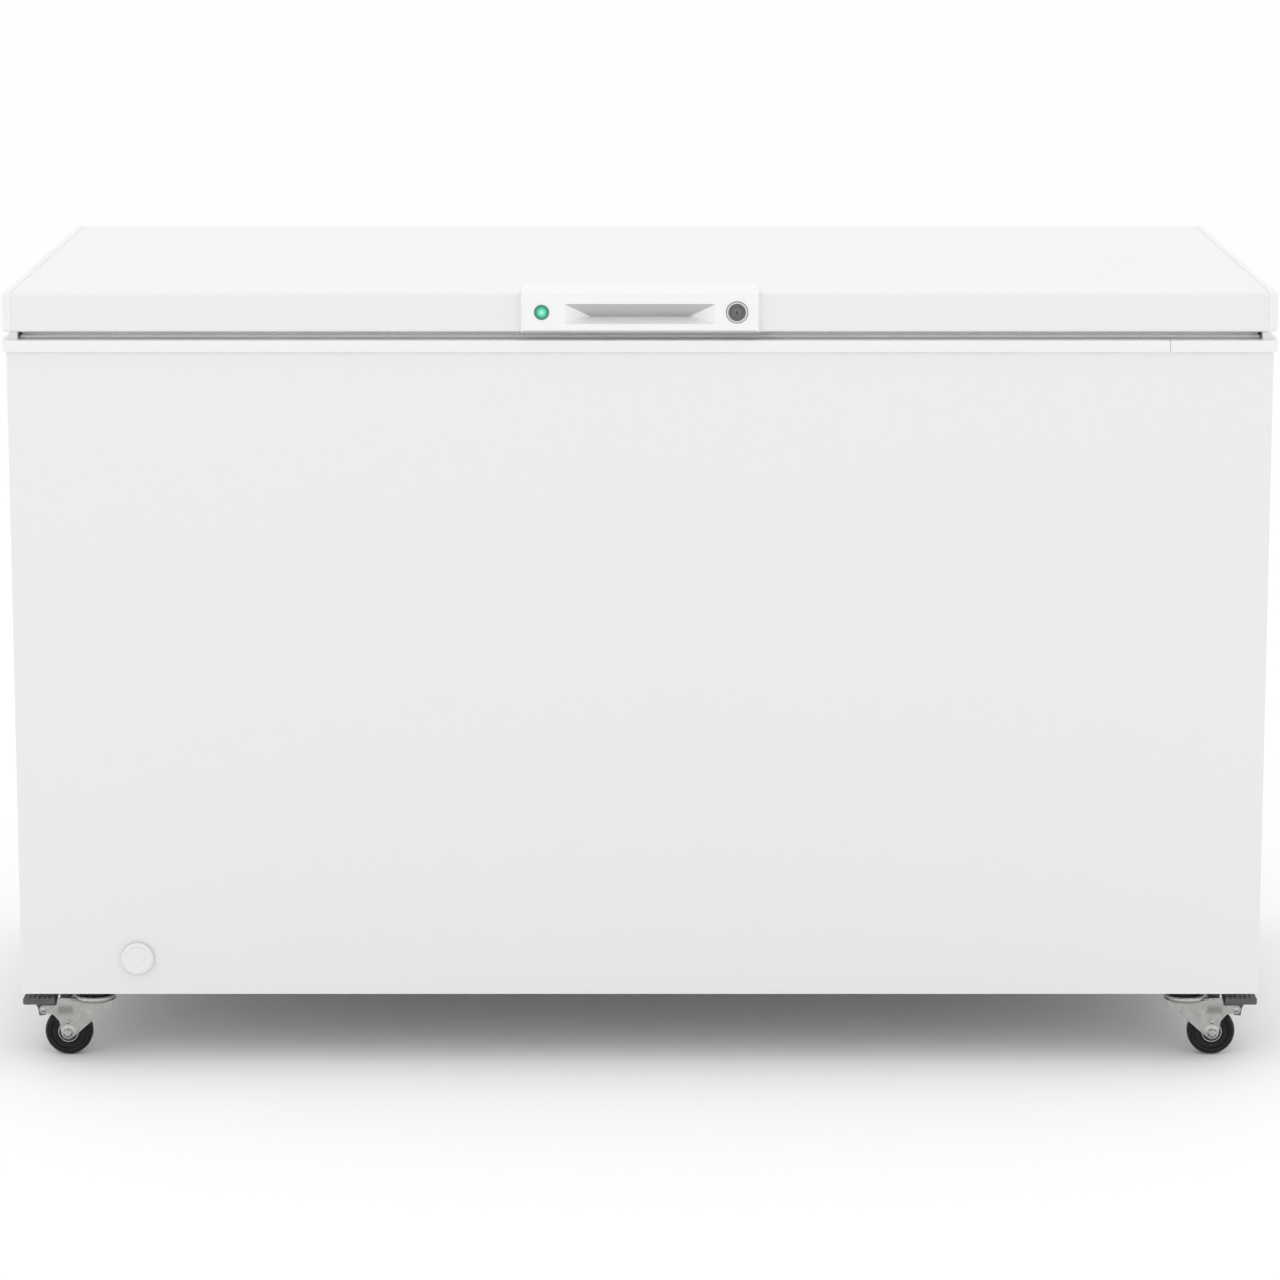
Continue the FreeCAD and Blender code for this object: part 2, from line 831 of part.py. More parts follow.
def compressor_cover():
    left = compartment_left + opening_margin - cover_lap_side
    right = left + opening_width + 2 * cover_lap_side
    cover = box((left, right), (body_back - skin, body_back + base_sheet),
                (opening_low - cover_lap_bottom, opening_low + opening_height + cover_lap_top))
    for column in range(cover_slot_columns):
        for row in range(cover_slot_rows):
            x = left + cover_slot_inset + column * cover_column_pitch
            z = opening_low + cover_slot_rise + row * cover_row_pitch
            slot = box((x, x + cover_slot_length), (body_back - 2, body_back + 3), (z, z + cover_slot))
            cover = cover.cut(slot)
    for x, z in cover_screws_at():
        cover = cover.cut(cylinder((x, body_back - 2, z), cover_screw_hole, 5, (0, 1, 0)))
    x, z = inlet_at()
    return cover.cut(cylinder((x, body_back - 2, z), inlet_radius, 6, (0, 1, 0)))


def power_inlet():
    # a snap-in gland: flange inside, neck through the cover, cone outside
    x, z = inlet_at()
    back = body_back - skin - inlet_nut_gap
    front = body_back + base_sheet
    tip = front + inlet_cone
    profile = [(cord_bore, back - inlet_nut), (inlet_flange - 1, back - inlet_nut), (inlet_flange - 1, back),
               (inlet_radius - running, back), (inlet_radius - running, front), (inlet_flange, front),
               (inlet_flange, front + inlet_rim), (cord_bore + inlet_tip_wall, tip), (cord_bore, tip)]
    return turned(profile, (x, 0, z), (0, 1, 0))


# cabinet: drain

def drain_socket():
    # a flanged sleeve through the front sheet that steps down onto the tube
    outer = drain_bore + drain_wall
    step = socket_length - socket_seat
    profile = [(drain_bore, 0), (outer + socket_flange, 0), (outer + socket_flange, 1), (outer, 1),
               (outer, socket_length), (drain_tube_bore, socket_length), (drain_tube_bore, step),
               (drain_bore, step)]
    return turned(profile, (drain_x, body_front - 1, drain_z), (0, 1, 0))


def drain_tube():
    outside = tube(drain_route(), drain_tube_radius, drain_bend)
    return outside.cut(tube(drain_route(), drain_tube_bore, drain_bend))


def drain_cap():
    # a dished cap with a rim, a centre boss and a spigot that plugs the socket
    r = drain_cap_radius
    face = cap_spigot + drain_cap_proud
    profile = [(0, 0), (drain_bore - free, 0), (drain_bore - free, cap_spigot), (r - 1, cap_spigot),
               (r, cap_spigot + 1), (r, face - 3), (r - 2, face - 1), (r - 3.5, face - 1), (r - 5, face - 2.6),
               (9, face - 3.4), (8, face - 2.4), (3.6, face - 2.4), (2.6, face - 3.4), (0, face - 3.4)]
    return turned(profile, (drain_x, body_front - 1 - free + cap_spigot, drain_z), (0, -1, 0))


def drain_plug():
    floor = liner_bottom + liner_sheet + free
    stem = drain_tube_bore - free
    profile = [(0, -plug_stem), (stem, -plug_stem), (stem, 0), (drain_plug_head, 0), (drain_plug_head, 2.5),
               (plug_grip + 1, 4), (plug_grip, plug_rise - 1), (0, plug_rise)]
    return turned(profile, (drain_x, drain_y, floor), (0, 0, 1))


# lid

def lid_form(x, grow):
    # the lid's cross-section, run along X, with rounded edges
    form = box(x, (lid_front - grow, lid_back + grow), (lid_bottom - min(grow, 0), lid_top + grow))
    middle = (lid_bottom + lid_top) / 2
    upper = lambda edge: along(edge, 0) and edge.Vertexes[0].Z > middle
    lower = lambda edge: along(edge, 0) and edge.Vertexes[0].Z < middle
    return rounded(rounded(form, lid_top_radius + grow, upper), lid_bottom_radius + grow, lower)


def pocket_block(grow):
    half = pocket_width / 2 + handle_wall + grow
    low = lid_bottom + pocket_bottom - handle_wall - grow
    return box((-half, half), (handle_front, handle_front + pocket_depth + handle_wall + grow),
               (low, low + pocket_height + 2 * (handle_wall + grow)))


def fitting_bore(x, radius, y):
    return cylinder((x, y[0], fitting_z), radius, y[1] - y[0], (0, 1, 0))


def lid_panel():
    x = (-panel_half, panel_half)
    panel = lid_form(x, 0).cut(lid_form((x[0] - 1, x[1] + 1), -lid_sheet))
    panel = panel.cut(box((x[0] - 1, x[1] + 1), (lid_front + lid_flange, lid_back - lid_flange),
                          (lid_bottom - 1, lid_bottom + 2)))
    panel = panel.cut(pocket_block(sheet_gap))
    panel = panel.cut(fitting_bore(lens_x, lamp_radius + free, (lid_front - 1, lid_front + 2)))
    panel = panel.cut(fitting_bore(lock_x, bezel_sleeve + free, (lid_front - 1, lid_front + 2)))
    return panel.cut(cam_slot((lid_bottom - 1, lid_bottom + 2)))


def lid_end_cap(side):
    cap = lid_form((panel_half, lid_half), end_cap_proud)
    cap = rounded(cap, end_cap_round, lambda edge: abs(edge.CenterOfMass.x - lid_half) < 0.01)
    wall = end_cap_wall
    cap = cap.cut(box((panel_half - 1, lid_half - wall), (lid_front + wall, lid_back - wall),
                      (lid_bottom + wall, lid_top - wall)))
    return cap if side > 0 else mirrored(cap)


def plug_form(inset, top):
    margin = plug_margin - inset
    liner = liner_half - liner_sheet
    depth = (liner_front + liner_sheet + margin, liner_back - liner_sheet - margin)
    bottom = lid_bottom - plug_drop
    form = box((-liner + margin, liner - margin), depth, (bottom - inset, top))
    form = rounded(form, liner_corner + inset, lambda edge: along(edge, 2))
    return rounded(form, plug_round + inset, lambda edge: abs(edge.CenterOfMass.z - bottom + inset) < 0.01)


def lid_liner():
    edge = lid_bottom_radius
    flange = box((-panel_half, panel_half), (lid_front + edge, lid_back - edge),
                 (lid_liner_bottom, lid_liner_top))
    liner = flange.fuse(plug_form(0, lid_liner_bottom + 1)).removeSplitter()
    return liner.cut(plug_form(-lid_liner_sheet, lid_liner_top + 1)).cut(cam_slot((lid_bottom, lid_top)))


def lid_foam():
    x = (-panel_half, panel_half)
    foam = lid_form(x, -lid_sheet)
    foam = foam.cut(box((x[0] - 1, x[1] + 1), (lid_front - 1, lid_back + 1), (lid_bottom - 1, lid_liner_top)))
    foam = foam.fuse(plug_form(-lid_liner_sheet, lid_liner_top + 1)).removeSplitter()
    foam = foam.cut(pocket_block(sheet_gap))
    foam = foam.cut(fitting_bore(lens_x, lamp_radius + free, (lid_front - 1, lid_front + 15)))
    reach = cam_reach + cam_half_width
    return foam.cut(box((lock_x - bezel_sleeve - 4, lock_x + reach), (lid_front - 1, lid_front + 18),
                        (lid_bottom - 1, lid_top - lid_sheet)))


def inner_ring(x, y, z, width):
    # a narrower ring along the middle of the gasket's base
    inset = (gasket_base - width) / 2
    return ring((x[0] + inset, x[1] - inset), (y[0] + inset, y[1] - inset), z, width)


def lid_gasket():
    x = (-lid_half + gasket_inset, lid_half - gasket_inset)
    y = (lid_front + gasket_inset, lid_back - gasket_inset)
    foot_bottom = collar_top + free
    foot_top = foot_bottom + gasket_foot_height
    base_bottom_z = lid_liner_bottom - gasket_base_height
    base = ring(x, y, (base_bottom_z, lid_liner_bottom), gasket_base)
    waist = inner_ring(x, y, (foot_top, base_bottom_z), gasket_waist)
    foot = inner_ring(x, y, (foot_bottom, foot_top), gasket_foot)
    return one_body([base, waist, foot])


def lid_lamp():
    # a lamp under its clear cover, below the lid liner
    z = lid_bottom - plug_drop
    cover = prism((-lamp_length / 2, lamp_length / 2), (-lamp_width / 2, lamp_width / 2),
                  (z - lamp_depth, z), lamp_depth)
    return rounded(cover, 3, lambda edge: abs(edge.CenterOfMass.z - z + lamp_depth) < 0.01)


# handle housing and what it carries

def finger_pocket():
    half = pocket_width / 2
    low = lid_bottom + pocket_bottom
    valley = pocket_valley_width / 2
    front = handle_front - 1
    back = handle_front + pocket_depth
    spread = 1.0 / pocket_depth
    rise = low + pocket_valley_rise
    top = low + pocket_height
    out = half + (half - valley) * spread
    below = low - pocket_valley_rise * spread
    above = top + (top - rise) * spread
    points = [(-out, front, below), (out, front, below), (out, front, above), (-out, front, above),
              (-valley, back, rise), (valley, back, rise)]
    return faceted(points, [(0, 1, 2, 3), (0, 4, 5, 1), (3, 2, 5, 4), (0, 3, 4), (1, 5, 2)])


def handle_housing():
    half = handle_width / 2
    wall = handle_wall
    bottom = lid_bottom + handle_lift
    top = lid_top + handle_deck
    front = box((-half, half), (handle_front, lid_front), (bottom, top))
    deck = box((-half, half), (handle_front, lid_front + handle_deck_length), (lid_top, top))
    deck = rounded(deck, handle_round * 2, lambda edge: along(edge, 2) and edge.Vertexes[0].Y > lid_front)
    housing = front.fuse(deck).removeSplitter()
    housing = rounded(housing, handle_round, lambda edge: abs(edge.CenterOfMass.y - handle_front) < 0.01)
    housing = rounded(housing, handle_deck / 2,
                      lambda edge: abs(edge.CenterOfMass.z - top) < 0.01 and edge.CenterOfMass.y > lid_front)
    housing = housing.cut(box((-half + wall, half - wall), (handle_front + wall, lid_front + 1),
                              (bottom + wall, lid_top - wall)))
    housing = housing.fuse(fitting_bore(lens_x, lens_radius + wall, (handle_front + 1, lid_front)))
    housing = housing.fuse(fitting_bore(lock_x, bezel_radius + wall, (handle_front + 1, lid_front)))
    housing = housing.fuse(pocket_block(0)).removeSplitter()
    housing = housing.cut(finger_pocket())
    housing = housing.cut(fitting_bore(lens_x, lens_radius + running, (handle_front - 1, lid_front + 1)))
    return housing.cut(fitting_bore(lock_x, bezel_radius + running, (handle_front - 1, lid_front + 1)))


def indicator_lens():
    # a ring-shaped rim round a shallow dome
    r = lens_radius
    rim = lens_depth + lens_proud
    profile = [(0, 0), (r, 0), (r, lens_depth), (r - 0.8, rim), (r - 2, rim), (r - 2.6, lens_depth + 0.4),
               (r - 5, lens_depth + 1), (0, rim)]
    return turned(profile, (lens_x, handle_front + lens_depth, fitting_z), (0, -1, 0))


def lock_bezel():
    r = bezel_radius
    back = -lid_sheet - bezel_reach
    front = handle_proud + bezel_proud
    profile = [(bezel_bore, back), (bezel_sleeve, back), (bezel_sleeve, 0), (r, 0), (r, front - 0.8),
               (r - 1, front), (bezel_bore + 0.8, front), (bezel_bore, front - 0.6)]
    return turned(profile, (lock_x, lid_front, fitting_z), (0, -1, 0))


def lock_core():
    # a cylinder with two fine grooves round a tubular keyway and its centre post
    r = core_radius
    back = -cam_depth
    front = handle_proud + core_proud
    profile = [(0, back), (r - 3, back), (r - 3, back + 2), (r, back + 2), (r, front)]
    for groove in core_grooves:
        floor = front - core_groove_depth
        profile += [(groove, front), (groove - 0.2, floor), (groove - 0.7, floor), (groove - 0.9, front)]
    floor = front - keyway_depth
    profile += [(keyway_radius, front), (keyway_radius, floor), (keyway_post, floor), (keyway_post, front - 0.8),
                (0, front - 0.8)]
    return turned(profile, (lock_x, lid_front, fitting_z), (0, -1, 0))


def lock_cam():
    # a flat arm with a hook that leads the turn and ends under the strike
    y = lid_front + cam_depth
    hub = cylinder((lock_x, y, fitting_z), cam_half_width + 4, cam_thickness, (0, 1, 0))
    arm = box((lock_x, lock_x + cam_reach - 0.4), (y, y + cam_thickness),
              (fitting_z - cam_half_width, fitting_z + cam_half_width))
    origin = Vector(0, 0, 0)
    up = Vector(0, 0, 1)
    hook = Part.makeCylinder(cam_reach, cam_thickness, origin, up, cam_hook_angle)
    hook = hook.cut(Part.makeCylinder(cam_reach - cam_hook, cam_thickness, origin, up, 360))
    hook.rotate(Vector(0, 0, 0), Vector(1, 0, 0), -90)
    hook.translate(Vector(lock_x, y, fitting_z))
    reach = cylinder((lock_x, y, fitting_z), cam_reach, cam_thickness, (0, 1, 0))
    return one_body([hub, arm.common(reach), hook])


# hinges

def both_hinges(make):
    return group([make(-hinge_x), make(hinge_x)])


def hull_plate(x, points, knuckle_radius):
    # a flat plate in the YZ plane that runs to the knuckle round the hinge line
    loop = [Vector(x[0], hinge_y + y, z) for y, z in points]
    plate = Part.Face(Part.makePolygon(loop + loop[:1])).extrude(Vector(x[1] - x[0], 0, 0))
    return plate.fuse(cylinder((x[0], hinge_y, hinge_z), knuckle_radius, x[1] - x[0], (1, 0, 0)))


def base_leaf(x):
    r = hinge_knuckle
    half = hinge_leaf_width / 2
    low = collar_bottom - cover_height
    plate = box((x - half, x + half), (body_back, body_back + hinge_ear),
                (low + 12, collar_bottom - cover_top_gap - cover_wall))
    leaf = [plate]
    for side in (-1, 1):
        ear = (x + side * hinge_ear_x - hinge_ear / 2, x + side * hinge_ear_x + hinge_ear / 2)
        leaf.append(hull_plate(ear, [(-hinge_back, low + 40), (-hinge_back, collar_bottom - cover_top_gap),
                                     (-r, collar_bottom), (-r, hinge_z), (r, hinge_z), (r, low + 60)], r))
    leaf = one_body(leaf)
    leaf = leaf.cut(cylinder((x - half, hinge_y, hinge_z), hinge_pin_radius, 2 * half, (1, 0, 0)))
    for screw_x, screw_z in leaf_screws_at(x):
        leaf = leaf.cut(cylinder((screw_x, body_back - 1, screw_z), leaf_screw_hole, 6, (0, 1, 0)))
    return leaf


def leaf_screws_at(x):
    low = collar_bottom - cover_height + 22
    return [(x + side * 14, z) for side in (-1, 1) for z in (low, low + 48)]


def lid_leaf(x):
    r = hinge_knuckle
    half = hinge_leaf_width / 2
    face = lid_back - hinge_y
    low = lid_bottom + lid_bottom_radius
    plate = box((x - half, x + half), (lid_back, lid_back + lid_leaf_sheet),
                (low, lid_top - lid_top_radius - lid_leaf_drop))
    knuckle = (x - hinge_knuckle_half, x + hinge_knuckle_half)
    web = hull_plate(knuckle, [(face, low + 4), (face, hinge_z), (r, hinge_z), (r, hinge_z + 4),
                               (face + 5, low + 4)], r)
    leaf = one_body([plate, web])
    leaf = leaf.cut(cylinder((x - half, hinge_y, hinge_z), hinge_pin_radius + running, 2 * half, (1, 0, 0)))
    for screw_x, screw_z in lid_screws_at(x):
        leaf = leaf.cut(cylinder((screw_x, lid_back - 1, screw_z), leaf_screw_hole, 6, (0, 1, 0)))
    return leaf


def lid_screws_at(x):
    return [(x + side * 26, z) for side in (-1, 1) for z in (lid_bottom + 13, lid_top - 18)]


def hinge_pin(x):
    reach = hinge_ear_x + hinge_ear / 2 + 2
    pin = cylinder((x - reach, hinge_y, hinge_z), hinge_pin_radius, 2 * reach, (1, 0, 0))
    for end in (x - reach - 1.5, x + reach):
        pin = pin.fuse(cylinder((end, hinge_y, hinge_z), hinge_pin_radius + 1.5, 1.5, (1, 0, 0)))
    return pin.removeSplitter()


def hinge_springs():
    coils = []
    room = hinge_ear_x - hinge_ear / 2 - hinge_knuckle_half - 2 * free
    height = room - 2 * spring_wire - 2 * free
    for x in (-hinge_x, hinge_x):
        for start in (x - hinge_ear_x + hinge_ear / 2, x + hinge_knuckle_half + 2 * free):
            helix = Part.makeHelix(height / spring_turns, height, spring_radius)
            wire = Part.Wire(Part.makeCircle(spring_wire, Vector(spring_radius, 0, 0), Vector(0, 1, 0)))
            coil = Part.Wire(helix.Edges).makePipeShell([wire], True, True)
            coil.rotate(Vector(0, 0, 0), Vector(0, 1, 0), 90)
            coil.translate(Vector(start + spring_wire + free, hinge_y, hinge_z))
            coils.append(coil)
    return group(coils)


def hinge_cover(x):
    half = cover_width / 2
    low = collar_bottom - cover_height
    top = collar_bottom - cover_top_gap
    cover = box((x - half, x + half), (body_back, body_back + cover_depth), (low, top))
    cover = rounded(cover, 6, lambda edge: edge.CenterOfMass.y > body_back + 1)
    inner = half - cover_wall
    cover = cover.cut(box((x - inner, x + inner), (body_back - 1, body_back + cover_depth - cover_wall),
                          (low + cover_wall, top - cover_wall)))
    slot = hinge_ear_x + hinge_ear / 2 + loose
    return cover.cut(box((x - slot, x + slot), (body_back - 1, hinge_y + hinge_knuckle + free),
                         (top - cover_wall - 1, top + 1)))


# screws

def screw(centre, direction, head, length):
    # a pan head with a cross recess on a plain shank
    profile = [(0, -length), (screw_shank, -length), (screw_shank, 0), (head, 0), (head, screw_head_height / 2),
               (head * 0.6, screw_head_height), (0, screw_head_height)]
    bottom = screw_head_height - 0.8
    drive = Part.makeBox(head, screw_slot, 1, Vector(-head / 2, -screw_slot / 2, bottom))
    cross = Part.makeBox(screw_slot, head, 1, Vector(-screw_slot / 2, -head / 2, bottom))
    fastener = turned(profile, (0, 0, 0), (0, 0, 1)).cut(drive).cut(cross)
    turn = FreeCAD.Rotation(Vector(0, 0, 1), Vector(*direction))
    fastener.Placement = FreeCAD.Placement(Vector(*centre), turn)
    return fastener


def cabinet_screws():
    screws = []
    for x in (-hinge_x, hinge_x):
        for screw_x, screw_z in leaf_screws_at(x):
            where = (screw_x, body_back + hinge_ear, screw_z)
            screws.append(screw(where, (0, 1, 0), hinge_screw_head, hinge_ear))
    for x, z in cover_screws_at():
        screws.append(screw((x, body_back + base_sheet, z), (0, 1, 0), cover_screw_head, skin + base_sheet))
    return group(screws)


def lid_screws():
    screws = []
    for x in (-hinge_x, hinge_x):
        for screw_x, screw_z in lid_screws_at(x):
            where = (screw_x, lid_back + lid_leaf_sheet, screw_z)
            screws.append(screw(where, (0, 1, 0), hinge_screw_head, lid_leaf_sheet))
    return group(screws)


# casters, drawn about the swivel line at x = 0, y = 0 with the wheel trailing to +X

def caster_plate():
    # a bolted plate with its ball race, the kingpin and its nut
    half = plate_length / 2
    side = plate_width / 2
    under = body_bottom - plate_sheet
    plate = prism((-half, half), (-side, side), (under, body_bottom), plate_corner)
    race = turned([(0, race_top - race_drop), (race_radius, race_top - race_drop), (race_radius + 4, race_top),
                   (race_radius + 4, under), (0, under)], (0, 0, 0), (0, 0, 1))
    low = crown_bottom - kingpin_drop
    pin = cylinder((0, 0, low), kingpin_radius, race_top - low, (0, 0, 1))
    nut = cylinder((0, 0, low), kingpin_radius + 3, kingpin_drop - 1, (0, 0, 1))
    plate = one_body([plate, race, pin, nut])
    for x in (-half + bolt_inset, half - bolt_inset):
        for y in (-side + bolt_inset - 1, side - bolt_inset + 1):
            head = turned([(0, 0), (bolt_radius, 0), (bolt_radius - 1, bolt_head), (0, bolt_head)],
                          (x, y, under), (0, 0, -1))
            plate = plate.fuse(head)
    return plate.removeSplitter()


def side_sheet(outline, y):
    loop = [Vector(x, y, z) for x, z in outline]
    return Part.Face(Part.makePolygon(loop + loop[:1])).extrude(Vector(0, fork_sheet, 0))


def fork_leg(y, with_brake):
    # a pressed side plate from the crown down to the axle, with an arm out to the brake pedal
    x = caster_trail
    z = wheel_radius
    top = crown_bottom + 1
    tab = x + fork_tab / 2 + 3.6
    outline = [(-crown_radius + 2, top), (-crown_radius + 4, top - 7), (x - 27, z + 12.5), (x - 6, z - 6),
               (x + 8, z + 3), (x + 11, z + 20), (tab, z + 34), (tab, crown_bottom + 4),
               (tab - fork_tab, crown_bottom + 4), (tab - fork_tab, top)]
    leg = side_sheet(outline, y)
    leg = leg.fuse(cylinder((x, y, z), fork_hub, fork_sheet, (0, 1, 0)))
    if with_brake:
        px = pedal_pivot_x
        pz = pedal_pivot_z
        arm = [(x + 8, z + 20), (px, pz - pedal_eye), (px, pz + pedal_eye), (x + 12, pz + pedal_eye)]
        leg = leg.fuse(side_sheet(arm, y))
        leg = leg.fuse(cylinder((px, y, pz), pedal_eye, fork_sheet, (0, 1, 0)))
    return leg


def caster_fork(with_brake):
    gap = wheel_width / 2 + fork_gap
    side = gap + fork_sheet
    bore = kingpin_radius + running
    r = crown_radius
    profile = [(bore, crown_bottom + 1.5), (r - 3, crown_bottom + 1.5), (r - 2, crown_bottom), (r, crown_bottom),
               (r, crown_top - 1.5), (r - 1.5, crown_top), (race_radius + 2, crown_top),
               (race_radius + 1, crown_top - 2), (bore, crown_top - 2)]
    crown = turned(profile, (0, 0, 0), (0, 0, 1))
    deck = box((-8, caster_trail + 3.6 - fork_tab / 2), (-side, side),
               (crown_bottom, crown_bottom + fork_sheet))
    deck = deck.cut(cylinder((0, 0, crown_bottom - 1), r - 4, crown_thickness, (0, 0, 1)))
    pieces = [crown, deck, fork_leg(gap, with_brake), fork_leg(-side, with_brake)]
    if with_brake:
        pieces.append(cylinder((pedal_pivot_x, -side - 1, pedal_pivot_z), pedal_pin, 2 * (side + 1), (0, 1, 0)))
    bore = cylinder((caster_trail, -side - 1, wheel_radius), axle_radius, 2 * (side + 1), (0, 1, 0))
    return one_body(pieces).cut(bore)


def caster_axle():
    # a plain axle with both ends riveted over the fork
    reach = wheel_width / 2 + fork_gap + fork_sheet
    end = [(axle_radius, reach), (rivet_radius, reach), (rivet_radius - 1.2, reach + rivet_height - 0.9),
           (rivet_radius - 2.2, reach + rivet_height), (0, reach + rivet_height)]
    profile = [(radius, -height) for radius, height in reversed(end)] + end
    return turned(profile, (caster_trail, 0, wheel_radius), (0, -1, 0))


def caster_wheel():
    # tread with rounded shoulders, a stepped side and a raised hub
    r = wheel_radius
    half = wheel_width / 2
    hub = wheel_hub_radius
    side = [(axle_radius + running, half), (hub - 1, half), (hub, half - 1), (hub, half - 3.5),
            (r - 9, half - 4.5), (r - 7.5, half - 2), (r - 4, half - 1.5), (r - 1.2, half - 4.5), (r, half - 8)]
    profile = side + [(radius, -height) for radius, height in reversed(side)]
    return turned(profile, (caster_trail, 0, wheel_radius), (0, 1, 0))


def brake_pedal():
    # a ribbed pad with a lug that hangs between the fork's arms and ends in the brake shoe
    half = pedal_width / 2
    top = pedal_bottom + pedal_thickness
    pad = box((pedal_inner, pedal_reach), (-half, half), (pedal_bottom, top))
    pad = rounded(pad, pedal_round, lambda edge: along(edge, 1))
    for index in range(pedal_ribs):
        x = pedal_inner + (index + 1) * pedal_rib_pitch
        pad = pad.cut(box((x, x + 2), (-half - 1, half + 1), (top - pedal_rib_depth, top + 1)))
    lug_half = wheel_width / 2 + fork_gap - pedal_side_gap
    px = pedal_pivot_x
    pz = pedal_pivot_z
    outline = [(px - 15, pedal_bottom + 1), (px - 12, pz + 1), (px - 5.5, pz - 4), (px - 2, pz - 8),
               (px + 6, pz - 9), (px + 7.5, pz), (px + 11, pedal_bottom + 1)]
    loop = [Vector(x, -lug_half, z) for x, z in outline]
    lug = Part.Face(Part.makePolygon(loop + loop[:1])).extrude(Vector(0, 2 * lug_half, 0))
    bore = cylinder((px, -half - 1, pz), pedal_pin + running, pedal_width + 2, (0, 1, 0))
    return pad.fuse(lug).removeSplitter().cut(bore)


def placed(shape, side, y):
    if side < 0:
        shape = mirrored(shape)
    shape.translate(Vector(side * caster_x, y, 0))
    return shape


# baskets

def wire_loop(x, y, z, radius, bend):
    middle = (x[0] + x[1]) / 2
    start = (middle, y[0], z)
    path = [start, (x[1], y[0], z), (x[1], y[1], z), (x[0], y[1], z), (x[0], y[0], z), start]
    return tube(path, radius, bend)


def spaced(first, last, count):
    return [first + (last - first) * index / (count - 1) for index in range(count)]


def flat_grids(basket, x, y, z):
    # the bottom, two ends, front and back, parted just inside the bends
    reach = basket_height
    upright = (z, z + reach)
    across = (x[0] - reach, x[1] + reach)
    length = (y[0] - reach, y[1] + reach)
    parts = [box(across, length, (z - reach, z)),
             box((across[0], x[0]), length, upright), box((x[1], across[1]), length, upright),
             box(x, (length[0], y[0]), upright), box(x, (y[1], length[1]), upright)]
    return group([basket.common(part).Solids[0] for part in parts])


def wire_basket(left):
    # five flat wire grids welded at the corners, hung on the collar's ledge by the rim
    seat = collar_top - collar_lip_drop + ledge_thickness + free + rim_wire
    side = liner_front + liner_sheet + free + collar_lip + loose + rim_wire
    x = (left + rim_wire, left + basket_length - rim_wire)
    y = (side, -side + liner_front + liner_back)
    drop = seat - basket_height
    inset = ledge_width + loose + rim_hanger
    inner_x = (x[0] + inset, x[1] - inset)
    inner_y = (y[0] + inset, y[1] - inset)
    wires = [wire_loop(x, y, seat, rim_wire, rim_bend),
             wire_loop(inner_x, inner_y, drop + basket_height / 2, mesh_wire, wire_bend)]
    for across in spaced(inner_y[0] + cross_wire_margin, inner_y[1] - cross_wire_margin, cross_wires):
        route = [(x[0], across, seat), (inner_x[0], across, seat), (inner_x[0], across, drop),
                 (inner_x[1], across, drop), (inner_x[1], across, seat), (x[1], across, seat)]
        wires.append(tube(route, mesh_wire, wire_bend))
    for across in spaced(inner_x[0] + long_wire_margin, inner_x[1] - long_wire_margin, long_wires):
        low = drop + mesh_wire
        route = [(across, y[0], seat), (across, inner_y[0], seat), (across, inner_y[0], low),
                 (across, inner_y[1], low), (across, inner_y[1], seat), (across, y[1], seat)]
        wires.append(tube(route, mesh_wire, wire_bend))
    return flat_grids(wires[0].multiFuse(wires[1:]), (inner_x[0] + grid_split, inner_x[1] - grid_split),
                      (inner_y[0] + grid_split, inner_y[1] - grid_split), drop + grid_split)


